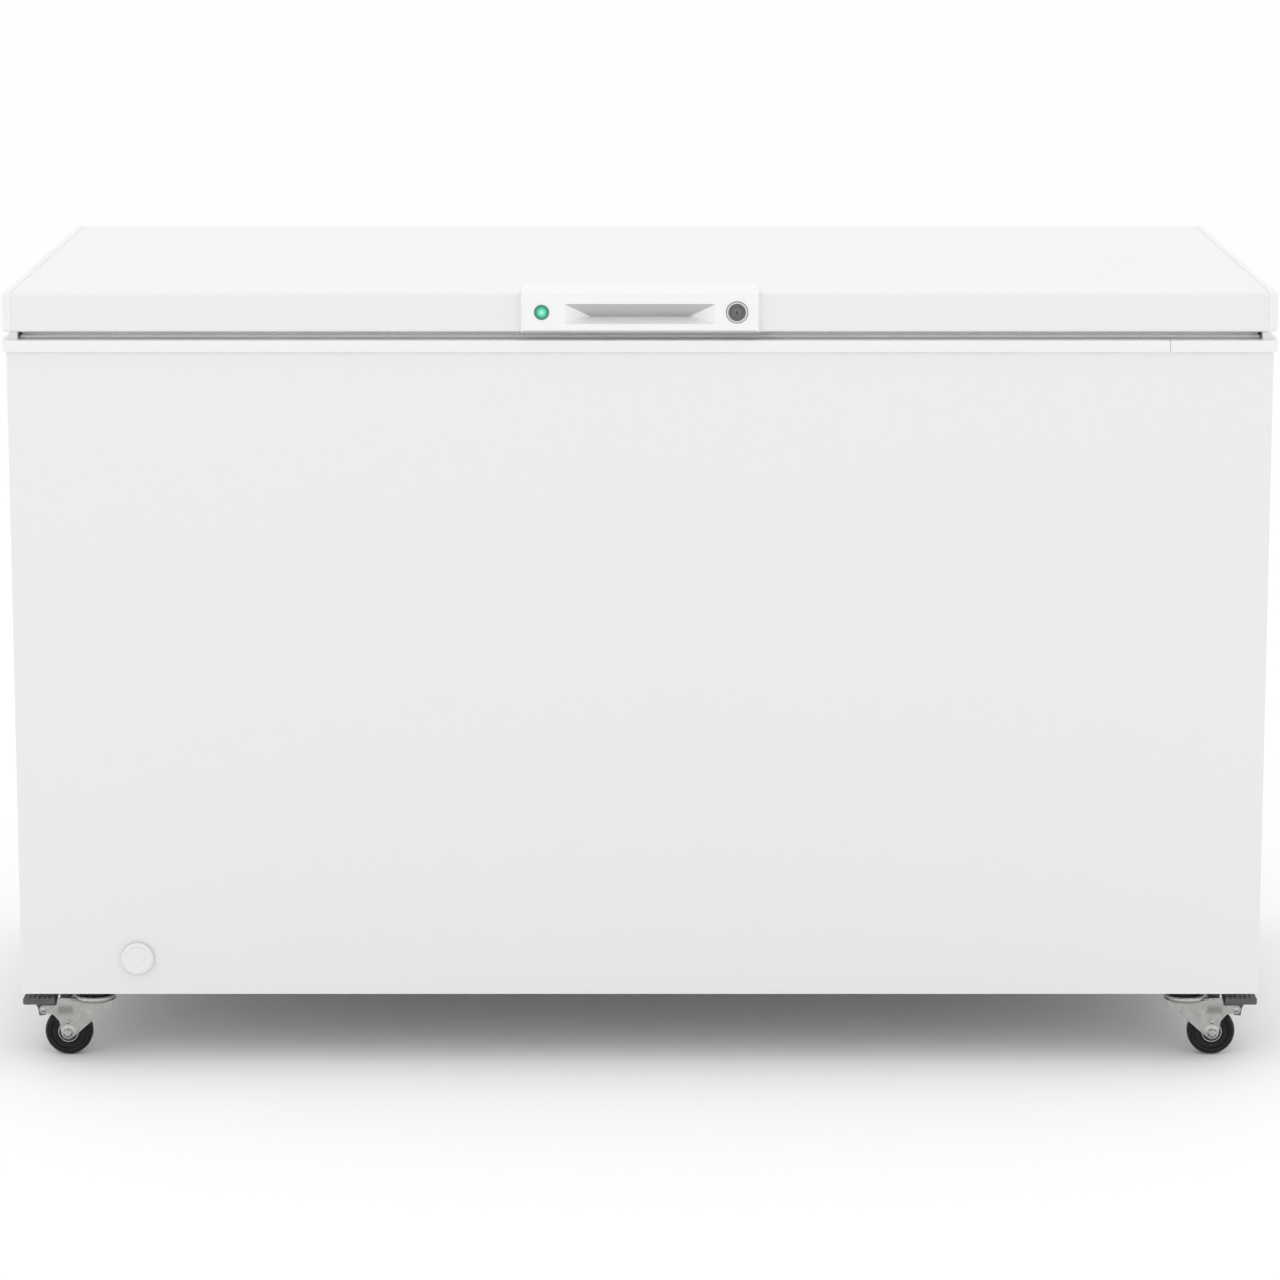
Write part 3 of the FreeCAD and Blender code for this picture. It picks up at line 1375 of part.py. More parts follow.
def build():
    os.makedirs("parts", exist_ok=True)
    save("cabinet_wrapper", cabinet_wrapper())
    save("rear_panel", rear_panel())
    save("base_pan", base_pan())
    save("compartment_wall", compartment_wall())
    save("inner_liner", inner_liner())
    save("cabinet_foam", cabinet_foam())
    save("top_collar", top_collar())
    save("lock_strike", lock_strike())
    save("evaporator_coil", evaporator_coil())
    save("condenser_coil", condenser_coil())
    save("compressor", compressor())
    save("compressor_feet", compressor_feet())
    save("start_relay", start_relay())
    save("filter_drier", filter_drier())
    save("refrigerant_pipes", refrigerant_pipes())
    save("thermostat_body", thermostat_body())
    save("thermostat_knob", thermostat_knob())
    save("vent_grille", vent_grille())
    save("compressor_cover", compressor_cover())
    save("power_inlet", power_inlet())
    save("drain_socket", drain_socket())
    save("drain_tube", drain_tube())
    save("drain_cap", drain_cap())
    save("drain_plug", drain_plug())
    save("hinge_base_leaves", both_hinges(base_leaf))
    save("hinge_lid_leaves", both_hinges(lid_leaf))
    save("hinge_pins", both_hinges(hinge_pin))
    save("hinge_springs", hinge_springs())
    save("hinge_covers", both_hinges(hinge_cover))
    save("cabinet_screws", cabinet_screws())
    save("lid_screws", lid_screws())
    save("lid_panel", lid_panel())
    save("lid_end_cap_left", lid_end_cap(-1))
    save("lid_end_cap_right", lid_end_cap(1))
    save("lid_foam", lid_foam())
    save("lid_liner", lid_liner())
    save("lid_gasket", lid_gasket())
    save("lid_lamp", lid_lamp())
    save("handle_housing", handle_housing())
    save("indicator_lens", indicator_lens())
    save("lock_bezel", lock_bezel())
    save("lock_core", lock_core())
    save("lock_cam", lock_cam())
    basket_edge = liner_half - basket_end_gap
    save("basket_left", wire_basket(-basket_edge))
    save("basket_right", wire_basket(basket_edge - basket_length))
    plates = []
    for row, y in (("front", body_front + caster_inset_y), ("rear", body_back - caster_inset_y)):
        for name, side in (("left", -1), ("right", 1)):
            where = row + "_" + name
            braked = row == "front"
            plates.append(placed(caster_plate(), side, y))
            save("caster_fork_" + where, placed(caster_fork(braked), side, y))
            save("caster_axle_" + where, placed(caster_axle(), side, y))
            save("caster_wheel_" + where, placed(caster_wheel(), side, y))
            if braked:
                save("brake_pedal_" + name, placed(brake_pedal(), side, y))
    save("caster_plates", group(plates))


build()
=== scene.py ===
import json
import math

import bmesh
import bpy
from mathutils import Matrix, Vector


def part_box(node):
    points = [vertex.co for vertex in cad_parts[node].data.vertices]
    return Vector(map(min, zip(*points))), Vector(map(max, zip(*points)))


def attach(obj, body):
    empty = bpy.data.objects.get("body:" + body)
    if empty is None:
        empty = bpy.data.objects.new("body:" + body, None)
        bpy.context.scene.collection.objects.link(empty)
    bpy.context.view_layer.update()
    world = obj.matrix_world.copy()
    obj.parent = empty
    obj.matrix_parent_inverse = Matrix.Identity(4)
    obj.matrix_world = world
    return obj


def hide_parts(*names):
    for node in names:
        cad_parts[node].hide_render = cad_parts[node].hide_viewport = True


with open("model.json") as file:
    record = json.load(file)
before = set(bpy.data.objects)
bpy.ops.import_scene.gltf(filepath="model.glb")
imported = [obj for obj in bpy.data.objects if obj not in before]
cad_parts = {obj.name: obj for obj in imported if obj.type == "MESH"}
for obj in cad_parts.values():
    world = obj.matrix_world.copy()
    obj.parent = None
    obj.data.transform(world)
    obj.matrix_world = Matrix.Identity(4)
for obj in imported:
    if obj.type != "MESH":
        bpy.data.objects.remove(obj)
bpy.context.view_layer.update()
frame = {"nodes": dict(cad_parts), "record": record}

nodes = frame["nodes"]
bodyOf = {node: body for body, members in frame["record"]["behaviour"]["bodies"].items() for node in members}
mm = 0.001


# shader building: a socket that takes part in sums, and a finish that holds one material

class Signal:
    def __init__(self, finish, socket):
        self.finish = finish
        self.socket = socket

    def sum(self, operation, first, second):
        return self.finish.add("ShaderNodeMath", {"operation": operation}, {0: first, 1: second})

    def __add__(self, other):
        return self.sum("ADD", self, other)

    def __radd__(self, other):
        return self.sum("ADD", other, self)

    def __sub__(self, other):
        return self.sum("SUBTRACT", self, other)

    def __rsub__(self, other):
        return self.sum("SUBTRACT", other, self)

    def __mul__(self, other):
        return self.sum("MULTIPLY", self, other)

    def __rmul__(self, other):
        return self.sum("MULTIPLY", other, self)


class Finish:
    def __init__(self, name, **constants):
        self.material = bpy.data.materials.new(name)
        self.material.use_nodes = True
        self.tree = self.material.node_tree
        self.shader = self.tree.nodes["Principled BSDF"]
        found = self.tree.nodes.new("ShaderNodeTexCoord")
        self.place = Signal(self, found.outputs["Object"])
        self.outward = Signal(self, found.outputs["Normal"])
        for socket, value in constants.items():
            self.put(socket.replace("_", " "), value)

    def add(self, kind, settings=None, values=None, out=0):
        # settings come first, since they decide which sockets the node shows
        node = self.tree.nodes.new(kind)
        for key, value in (settings or {}).items():
            if key == "stops":
                ramp = node.color_ramp.elements
                while len(ramp) < len(value):
                    ramp.new(0.5)
                for element, (position, colour) in zip(ramp, value):
                    element.position = position
                    element.color = (*colour, 1)
            else:
                setattr(node, key, value)
        for key, value in (values or {}).items():
            self.plug(node.inputs[key], value)
        return Signal(self, node.outputs[out])

    def plug(self, socket, value):
        if isinstance(value, Signal):
            self.tree.links.new(value.socket, socket)
        elif socket.type == "RGBA":
            socket.default_value = (*value, 1)
        else:
            socket.default_value = value

    def put(self, socket, value):
        self.plug(self.shader.inputs[socket], value)

    def noise(self, scale, detail=3.0, vector=None, out=0):
        return self.add("ShaderNodeTexNoise", {"noise_dimensions": "3D"},
                        {"Vector": vector or self.place, "Scale": scale, "Detail": detail}, out)

    def cells(self, scale, feature="F1", out=0):
        return self.add("ShaderNodeTexVoronoi", {"feature": feature},
                        {"Vector": self.place, "Scale": scale}, out)

    def axis(self, index):
        return self.add("ShaderNodeSeparateXYZ", {}, {0: self.place}, index)

    def facing(self):
        # how far a face looks up, from -1 to 1, on the part's own axes
        return self.add("ShaderNodeSeparateXYZ", {}, {0: self.outward}, 2)

    def spread(self, value, low, high, start=0.0, end=1.0):
        return self.add("ShaderNodeMapRange", {"clamp": True},
                        {0: value, 1: low, 2: high, 3: start, 4: end})

    def blend(self, factor, first, second):
        return self.add("ShaderNodeMix", {"data_type": "RGBA"}, {0: factor, 6: first, 7: second}, 2)

    def bump(self, height, distance, strength=1.0, under=None):
        values = {"Height": height, "Distance": distance, "Strength": strength}
        if under:
            values["Normal"] = under
        return self.add("ShaderNodeBump", {}, values)

    def stretch(self, x, y, z):
        return self.add("ShaderNodeVectorMath", {"operation": "MULTIPLY"}, {0: self.place, 1: (x, y, z)})

    def radius(self, centre):
        # distance from a line through centre that runs front to back
        away = self.add("ShaderNodeVectorMath", {"operation": "SUBTRACT"}, {0: self.place, 1: tuple(centre)})
        flat = self.add("ShaderNodeVectorMath", {"operation": "MULTIPLY"}, {0: away, 1: (1.0, 0.0, 1.0)})
        return self.add("ShaderNodeVectorMath", {"operation": "LENGTH"}, {0: flat}, 1)

    def wave(self, value, perMetre):
        return self.add("ShaderNodeMath", {"operation": "SINE"}, {0: value * (perMetre * 2 * math.pi)})


def shade(colour, factor):
    return tuple(channel * factor for channel in colour)


# sheet metal finishes

enamel = {"colour": (0.80, 0.82, 0.805), "roughness": 0.30, "peel": 0.00006, "dish": 0.0016, "paintedLowShade": 0.965}


def enamelFinish(name, colour, gloss=1.0, sheetWave=1.0):
    f = Finish(name, Coat_Roughness=0.12, Specular_IOR_Level=0.5)
    tone = f.noise(1.1, 2)
    # the sheet is painted darker towards the bottom, as painted shade
    height = f.spread(f.axis(2), 0.08, 0.95)
    base = f.blend(height, shade(colour, enamel["paintedLowShade"]), colour)
    f.put("Base Color", f.blend(tone * 0.6, base, shade(colour, 0.975)))
    smear = f.noise(9, 4)
    f.put("Roughness", (smear - 0.5) * 0.10 + enamel["roughness"] / gloss)
    f.put("Coat Weight", 0.22 + (f.noise(3, 2) - 0.5) * 0.1)
    dish = f.bump(f.noise(2.6, 1), enamel["dish"] * sheetWave)
    f.put("Normal", f.bump(f.noise(620, 2), enamel["peel"], 0.5, dish))
    return f.material


def galvanisedFinish(name):
    f = Finish(name, Metallic=1.0)
    spangle = f.cells(70, "F1", out=1)
    tint = f.add("ShaderNodeSeparateColor", {}, {0: spangle}, 0)
    f.put("Base Color", f.blend(tint, (0.46, 0.47, 0.48), (0.64, 0.65, 0.66)))
    f.put("Roughness", tint * 0.18 + 0.36 + (f.noise(14, 4) - 0.5) * 0.12)
    f.put("Normal", f.bump(f.noise(300, 3), 0.00004))
    return f.material


def zincFinish(name, colour=(0.58, 0.58, 0.56), roughness=0.30):
    # faces that look down are painted darker, as painted shade
    f = Finish(name, Metallic=0.85)
    stain = f.blend(f.spread(f.noise(160, 5), 0.35, 0.7), shade(colour, 0.88), shade(colour, 1.12))
    f.put("Base Color", f.blend(f.spread(f.facing(), -0.22, 0.16), shade(colour, 0.34), stain))
    f.put("Roughness", f.spread(f.noise(140, 4), 0.3, 0.7, roughness - 0.06, roughness + 0.16))
    drawn = f.noise(1.0, 3, f.stretch(1500, 90, 900))
    f.put("Normal", f.bump(drawn, 0.00003, 0.6, f.bump(f.noise(110, 2), 0.00012)))
    return f.material


def stuccoFinish(name):
    # rolled aluminium with a pebbled emboss
    f = Finish(name, Metallic=1.0)
    pebble = f.cells(150, "SMOOTH_F1")
    f.put("Base Color", f.blend(f.noise(2.5, 2), (0.78, 0.79, 0.80), (0.86, 0.87, 0.88)))
    f.put("Roughness", f.spread(f.noise(40, 4), 0.3, 0.7, 0.44, 0.54))
    f.put("Normal", f.bump(pebble, 0.0003, 0.6))
    return f.material


# moulded finishes

def mouldedFinish(name, colour, roughness=0.38, grain=0.00003, grainScale=1500, sink=0.0003,
                  coat=0.0, under=0.97):
    # under is how much darker the faces that look down are painted, as painted shade
    f = Finish(name, Specular_IOR_Level=0.5)
    tone = f.blend(f.noise(7, 3), shade(colour, 0.97), shade(colour, 1.015))
    f.put("Base Color", f.blend(f.spread(f.facing(), -0.6, 0.0), shade(colour, under), tone))
    f.put("Roughness", (f.noise(55, 4) - 0.5) * 0.12 + roughness)
    if coat:
        f.put("Coat Weight", coat + (f.noise(20, 2) - 0.5) * 0.1)
    f.put("Normal", f.bump(f.noise(grainScale, 2), grain, 0.7, f.bump(f.noise(9, 1), sink)))
    return f.material


def rubberFinish(name, colour, roughness=0.55, shine=0.4):
    f = Finish(name, Specular_IOR_Level=shine)
    scuff = f.spread(f.noise(90, 6), 0.52, 0.75)
    scuffed = tuple(min(1.0, channel * 1.5 + 0.02) for channel in colour)
    f.put("Base Color", f.blend(scuff * 0.5, colour, scuffed))
    f.put("Roughness", scuff * 0.2 + roughness)
    f.put("Normal", f.bump(f.noise(1100, 3), 0.00005))
    return f.material


roundParts = {"lens": 0.0092, "lock": 0.0134}  # radii in metres


def lensFinish(name, centre):
    # bright in the middle, deep green at the rim
    f = Finish(name, Specular_IOR_Level=0.6, Coat_Weight=0.6, Coat_Roughness=0.05, Roughness=0.12)
    away = f.spread(f.radius(centre), 0.0, roundParts["lens"])
    greens = [(0.0, (0.34, 0.86, 0.66)), (0.45, (0.07, 0.56, 0.38)), (0.78, (0.01, 0.24, 0.14)),
              (1.0, (0.004, 0.11, 0.06))]
    colour = f.add("ShaderNodeValToRGB", {"stops": greens}, {0: away})
    f.put("Base Color", colour)
    f.put("Emission Color", colour)
    f.put("Emission Strength", 0.15)
    f.put("Normal", f.bump(f.wave(f.radius(centre), 900), 0.00008, 0.5))
    return f.material


def turnedFinish(name, centre, stops, rings, roughness):
    # fine concentric tool marks about an axis that runs front to back, with painted highlight and shade toned
    # from the middle out
    f = Finish(name, Metallic=0.9)
    away = f.radius(centre)
    marks = f.wave(away, rings)
    tone = f.add("ShaderNodeValToRGB", {"stops": stops}, {0: f.spread(away, 0.0, roundParts["lock"])})
    f.put("Base Color", f.blend(f.spread(marks, -1, 1) * 0.55, tone, (0.05, 0.05, 0.055)))
    f.put("Roughness", marks * 0.05 + roughness)
    f.put("Normal", f.bump(marks, 0.00006, 0.6))
    return f.material


def potFinish(name, colour, roughness=0.35):
    f = Finish(name, Coat_Weight=0.3)
    dusty = tuple(channel * 1.6 + 0.01 for channel in colour)
    f.put("Base Color", f.blend(f.spread(f.noise(30, 5), 0.4, 0.7), colour, dusty))
    f.put("Roughness", (f.noise(80, 3) - 0.5) * 0.2 + roughness)
    f.put("Normal", f.bump(f.noise(240, 2), 0.0001))
    return f.material


def copperFinish(name):
    f = Finish(name, Metallic=1.0)
    patina = f.spread(f.noise(25, 5), 0.45, 0.75)
    f.put("Base Color", f.blend(patina, (0.78, 0.40, 0.25), (0.36, 0.20, 0.13)))
    f.put("Roughness", patina * 0.25 + 0.25)
    f.put("Normal", f.bump(f.noise(400, 2), 0.00004))
    return f.material


def foamFinish(name):
    f = Finish(name)
    cells = f.cells(420)
    f.put("Base Color", f.blend(f.noise(12, 4), (0.80, 0.64, 0.32), (0.90, 0.80, 0.52)))
    f.put("Roughness", cells * 0.1 + 0.8)
    f.put("Normal", f.bump(cells, 0.0006))
    return f.material


def middle(node):
    low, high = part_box(node)
    return (low + high) / 2


lockCentre = middle("lock_core")
lensCentre = middle("indicator_lens")
plasticWhite = (0.85, 0.855, 0.85)
# the bezel's bright band is a painted highlight and its dark outer band is painted shadow of the gap round it
lockRimHighlightAndShadow = [(0.0, (0.20, 0.20, 0.21)), (0.76, (0.20, 0.20, 0.21)), (0.80, (0.90, 0.90, 0.92)),
           (0.93, (0.90, 0.90, 0.92)), (0.96, (0.06, 0.06, 0.065)), (1.0, (0.06, 0.06, 0.065))]
# the core face's dark centre is painted shade in the keyway, its bright ring a painted highlight and its
# darker outer edge painted shade beside the bezel
lockFaceHighlightAndShade = [(0.0, (0.03, 0.03, 0.03)), (0.09, (0.03, 0.03, 0.03)), (0.11, (0.50, 0.50, 0.51)),
            (0.20, (0.24, 0.24, 0.25)), (0.70, (0.20, 0.20, 0.21)), (0.78, (0.10, 0.10, 0.11))]

finishes = {
    "white_enamel": enamelFinish("whiteEnamel", enamel["colour"]),
    "rear_enamel": enamelFinish("rearEnamel", (0.66, 0.67, 0.66), 0.8, 1.6),
    "galvanised_steel": galvanisedFinish("galvanisedSheet"),
    "liner_aluminium": stuccoFinish("stuccoAluminium"),
    "insulating_foam": foamFinish("insulatingFoam"),
    "collar_plastic": mouldedFinish("collarPlastic", plasticWhite, 0.34, coat=0.1),
    "lid_cap_plastic": mouldedFinish("lidCapPlastic", shade(plasticWhite, 0.99), 0.36),
    "liner_plastic": mouldedFinish("linerPlastic", (0.80, 0.81, 0.81), 0.42, sink=0.0008),
    "gasket_vinyl": mouldedFinish("gasketVinyl", (0.90, 0.90, 0.89), 0.5),
    # the handle's faces that look down, such as the pocket's upper wall, get deep painted shade
    "handle_plastic": mouldedFinish("handlePlastic", shade(plasticWhite, 1.03), 0.40, 0.00005, 2200,
                                    under=0.58),
    "indicator_green": lensFinish("indicatorGreen", lensCentre),
    "lock_chrome": turnedFinish("lockChrome", lockCentre, lockRimHighlightAndShadow, 0.0, 0.12),
    "lock_steel": turnedFinish("lockSteel", lockCentre, lockFaceHighlightAndShade, 620.0, 0.30),
    "zinc_steel": zincFinish("brightZinc"),
    "spring_steel": zincFinish("springSteel", (0.40, 0.40, 0.42), 0.32),
    "wheel_black": rubberFinish("wheelBlack", (0.006, 0.006, 0.0065), 0.34, shine=0.28),
    "pedal_plastic": rubberFinish("pedalPlastic", (0.10, 0.10, 0.10), 0.5),
    "drain_plastic": mouldedFinish("drainPlastic", shade(plasticWhite, 0.95), 0.42),
    "tube_plastic": mouldedFinish("tubePlastic", (0.66, 0.66, 0.64), 0.45),
    "black_pot": potFinish("blackPot", (0.015, 0.015, 0.016)),
    "mount_rubber": rubberFinish("mountRubber", (0.02, 0.02, 0.02), 0.7),
    "relay_plastic": mouldedFinish("relayPlastic", (0.03, 0.03, 0.03), 0.5),
    "copper_tube": copperFinish("copperTube"),
    "grille_plastic": mouldedFinish("grillePlastic", shade(plasticWhite, 0.94), 0.45),
    "knob_plastic": mouldedFinish("knobPlastic", (0.22, 0.23, 0.24), 0.4),
    "inlet_plastic": mouldedFinish("inletPlastic", (0.025, 0.025, 0.025), 0.5),
    "basket_wire": mouldedFinish("basketWire", (0.76, 0.77, 0.77), 0.35, 0.00005, 500, coat=0.2),
    "lamp_cover": mouldedFinish("lampCover", (0.78, 0.81, 0.83), 0.3, coat=0.3),
    "hinge_cover_plastic": mouldedFinish("hingeCoverPlastic", shade(plasticWhite, 0.95), 0.42),
}

for part in frame["record"]["subparts"]:
    mesh = nodes[part["node"]].data
    mesh.materials.clear()
    mesh.materials.append(finishes[part["material_slot"]])
print("finishes:", len(finishes))


# pieces finer than their CAD nodes, in millimetres until they are placed

slotOf = {part["node"]: part["material_slot"] for part in frame["record"]["subparts"]}


def pieceFrom(name, bm, node, slot=None, angle=32):
    # given a slot it is added beside the node, otherwise it stands for the node
    bmesh.ops.recalc_face_normals(bm, faces=bm.faces)
    mesh = bpy.data.meshes.new(name)
    bm.to_mesh(mesh)
    bm.free()
    mesh.shade_smooth()
    mesh.set_sharp_from_angle(angle=math.radians(angle))
    mesh.materials.append(finishes[slot or slotOf[node]])
    piece = bpy.data.objects.new(name, mesh)
    bpy.context.scene.collection.objects.link(piece)
    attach(piece, bodyOf[node])
    if not slot:
        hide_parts(node)


def fillet(corners, closed=True, steps=5):
    # corners are two places and a rounding
    outline = []
    for index, (x, z, rounding) in enumerate(corners):
        corner = Vector((x, z))
        if not rounding or (not closed and index in (0, len(corners) - 1)):
            outline.append(corner)
            continue
        back = Vector(corners[index - 1][:2]) - corner
        ahead = Vector(corners[(index + 1) % len(corners)][:2]) - corner
        reach = min(rounding / math.tan(back.angle(ahead) / 2), 0.48 * back.length, 0.48 * ahead.length)
        start = corner + back.normalized() * reach
        end = corner + ahead.normalized() * reach
        for step in range(steps + 1):
            t = step / steps
            outline.append(start * (1 - t) ** 2 + corner * 2 * t * (1 - t) + end * t * t)
    return outline


def arc(centre, radius, first, last, steps=14):
    turns = [math.radians(first + (last - first) * step / steps) for step in range(steps + 1)]
    return [Vector((centre[0] + radius * math.cos(turn), centre[1] + radius * math.sin(turn)))
            for turn in turns]


def lathe(bm, profile, centre, axis, steps=72, closed=True):
    # profile is radius and height along the axis
    rings = []
    for radius, height in profile:
        ring = []
        for index in range(steps if radius > 0 else 1):
            turn = 2 * math.pi * index / steps
            point = [radius * math.cos(turn), radius * math.sin(turn)]
            point.insert(axis, height)
            ring.append(bm.verts.new((Vector(point) + Vector(centre)) * mm))
        rings.append(ring)
    for low, high in zip(rings, rings[1:] + rings[:1] if closed else rings[1:]):
        for index in range(steps):
            near = (index + 1) % steps
            corners = [low[index % len(low)], low[near % len(low)],
                       high[near % len(high)], high[index % len(high)]]
            corners = list(dict.fromkeys(corners))
            if len(corners) > 2:
                bm.faces.new(corners)


def ease(value, low, high):
    t = max(0.0, min(1.0, (value - low) / (high - low)))
    return t * t * (3 - 2 * t)


def lines(low, high, pitch):
    return [low + pitch * (index + 0.5) for index in range(int((high - low) / pitch))]


def pressedSheet(bm, outline, cuts, relief, thickness, place, gone=None):
    # an outline in x and z cut along the given lines, pushed out of plane and given its thickness
    sheet = bmesh.new()
    sheet.faces.new([sheet.verts.new((x, 0, z)) for x, z in outline])
    for axis, spots in cuts.items():
        normal = Vector([float(index == axis) for index in range(3)])
        for spot in spots:
            bmesh.ops.bisect_plane(sheet, geom=sheet.verts[:] + sheet.edges[:] + sheet.faces[:],
                                   dist=0.001, plane_co=normal * spot, plane_no=normal)
    if gone:
        lost = [face for face in sheet.faces if gone(face.calc_center_median())]
        bmesh.ops.delete(sheet, geom=lost, context="FACES")
    for vert in sheet.verts:
        vert.co.y = relief(vert.co.x, vert.co.z)
    outer = bmesh.ops.extrude_face_region(sheet, geom=sheet.faces[:])["geom"]
    for item in outer:
        if isinstance(item, bmesh.types.BMVert):
            item.co.y += thickness
    made = {vert: bm.verts.new(Vector(place(vert.co)) * mm) for vert in sheet.verts}
    for face in sheet.faces:
        bm.faces.new([made[vert] for vert in face.verts])
    sheet.free()


# casters: pressed zinc forks, stepped wheels and a bright seal round each hub

caster = {"x": 684.0, "front": -316.9, "rear": 306.1, "trail": 33.0, "axle": 30.0, "legIn": 12.5,
          "sheet": 2.5, "press": 1.4, "flare": 0.07, "cell": 1.3, "hub": 8.5, "axleHole": 5.2,
          "pin": (62.769, 60.612), "rivet": 44.6, "deck": 71.5, "deckSheet": 2.4, "raceHole": 21.5}

# profiles of radius and height along the axis
crownProfile = [(4.6, 72.9), (22.4, 72.9), (23.4, 71.7), (25.0, 71.4), (26.2, 72.0), (26.6, 73.2),
                (26.6, 75.6), (26.3, 77.1), (25.5, 78.1), (24.2, 78.5), (22.9, 78.2), (22.1, 77.3),
                (21.2, 76.5), (4.6, 76.5)]
wheelSide = [(4.06, 11.0), (10.4, 11.0), (11.4, 10.8), (11.9, 10.2), (12.1, 7.6), (12.8, 6.9),
             (14.8, 6.6), (15.2, 7.2), (16.2, 7.2), (16.6, 6.6), (20.4, 6.5), (21.3, 6.9), (22.0, 8.5),
             (22.9, 9.2), (24.9, 9.4), (25.3, 8.8), (25.8, 8.8), (26.2, 9.2), (27.5, 8.6), (28.8, 7.0),
             (29.6, 4.8), (30.0, 2.0)]
sealProfile = [(12.2, 7.8), (12.2, 10.2), (11.5, 10.95), (11.5, 11.25), (12.1, 11.4), (12.7, 11.1),
               (13.0, 10.3), (13.0, 7.8)]


def legOutline(braked):
    hub = arc((caster["trail"], caster["axle"]), caster["hub"], 214, 352)
    eye = arc(caster["pin"], 5.6, -118, 96)
    first = fillet([(27.6, 72.5, 0), (-24.7, 72.5, 0), (-23.2, 66.2, 4), (-1.6, 49.9, 9), (18.6, 31.9, 6),
                    (26.0, 25.2, 0)], closed=False)
    if braked:
        rise = fillet([(41.4, 28.8, 0), (43.4, 45.0, 9), (50.0, 54.0, 6), (60.2, 55.6, 0)], closed=False)
        last = fillet([(62.2, 66.2, 0), (45.8, 66.2, 2), (45.6, 75.4, 1.6), (27.6, 75.4, 1.6),
                       (27.6, 72.5, 0)], closed=False)
        return first[1:-1] + hub + rise[1:-1] + eye + last[1:]
    last = fillet([(41.4, 28.8, 0), (43.2, 45.0, 9), (45.6, 60.0, 6), (45.6, 75.4, 1.6), (27.6, 75.4, 1.6),
                   (27.6, 72.5, 0)], closed=False)
    return first[1:-1] + hub + last[1:]


def legRelief(x, z):
    # the sheet stands out, a strip over the hub is pressed in and the end towards the crown leans in
    out = caster["press"] * (1 - ease(x, 24.2, 27.4) * ease(44.6 - x, -1.6, 1.2) * ease(67 - z, 0, 14))
    rim = 0.7 * ease(9.2 - math.hypot(x - caster["trail"], z - caster["axle"]), 0, 1.6)
    return max(0.0, out + rim - caster["flare"] * max(0.0, -x))


def casterFork(name, side, y, braked):
    bm = bmesh.new()
    centre = (side * caster["x"], y, 0)
    lathe(bm, crownProfile, centre, 2)
    cuts = {0: lines(-25, 69, caster["cell"]), 2: lines(21, 76, caster["cell"])}
    for face in (-1, 1):
        pressedSheet(bm, legOutline(braked), cuts, legRelief, caster["sheet"],
                     lambda co: (centre[0] + side * co.x, y + face * (caster["legIn"] + co.y), co.z),
                     lambda spot: (math.hypot(spot.x - caster["trail"], spot.z - caster["axle"])
                                   < caster["axleHole"]))
        rivet = [(2.7, 14.6), (2.7, 16.2), (2.3, 16.9), (1.5, 17.2), (0, 17.3)]
        lathe(bm, [(radius, face * height) for radius, height in rivet],
              (centre[0] + side * caster["trail"], y, caster["rivet"]), 1, 32, False)
    deck = [(-9.0, -15.0), (29.0, -15.0), (29.0, 15.0), (-9.0, 15.0)]
    pressedSheet(bm, [Vector(spot) for spot in deck], {0: lines(-9, 29, 3), 2: lines(-15, 15, 3)},
                 lambda x, z: 0.0, caster["deckSheet"],
                 lambda co: (centre[0] + side * co.x, y + co.z, caster["deck"] + co.y),
                 lambda spot: math.hypot(spot.x, spot.z) < caster["raceHole"])
    if braked:
        pin = [(0, -18.0), (2.4, -17.9), (3.5, -17.3), (3.6, -16.6), (2.5, -16.5), (2.5, 16.5), (3.6, 16.6),
               (3.5, 17.3), (2.4, 17.9), (0, 18.0)]
        lathe(bm, pin, (centre[0] + side * caster["pin"][0], y, caster["pin"][1]), 1, 32, False)
    pieceFrom(name, bm, "caster_fork_" + name[5:], angle=28)


def casterWheel(name, side, y):
    spot = (side * (caster["x"] + caster["trail"]), y, caster["axle"])
    bm = bmesh.new()
    lathe(bm, wheelSide + [(radius, -height) for radius, height in reversed(wheelSide)], spot, 1, 120)
    pieceFrom(name, bm, "caster_wheel_" + name[6:], angle=40)
    bm = bmesh.new()
    for face in (-1, 1):
        lathe(bm, [(radius, face * height) for radius, height in sealProfile], spot, 1, 96)
    pieceFrom("hub_seal_" + name[6:], bm, "caster_wheel_" + name[6:], "zinc_steel", 40)


for end in ("front", "rear"):
    for hand, side in (("left", -1), ("right", 1)):
        casterFork("fork_%s_%s" % (end, hand), side, caster[end], end == "front")
        casterWheel("wheel_%s_%s" % (end, hand), side, caster[end])
print("casters made")


# lid gasket: bellows between a clamped base and a magnetic foot, mitred at the corners

gasket = {"x": 755.0, "front": -347.9, "back": 341.1, "foot": 911.3, "width": 22.0,
          "half": [(0.0, 10.3), (0.3, 8.9), (3.9, 8.3), (4.6, 7.8), (4.6, 7.3), (2.3, 6.5), (2.0, 6.1),
                   (2.3, 5.7), (4.9, 5.0), (4.9, 4.6), (2.2, 3.9), (1.2, 3.3), (1.0, 2.2), (1.1, 0.8),
                   (1.7, 0.1)]}


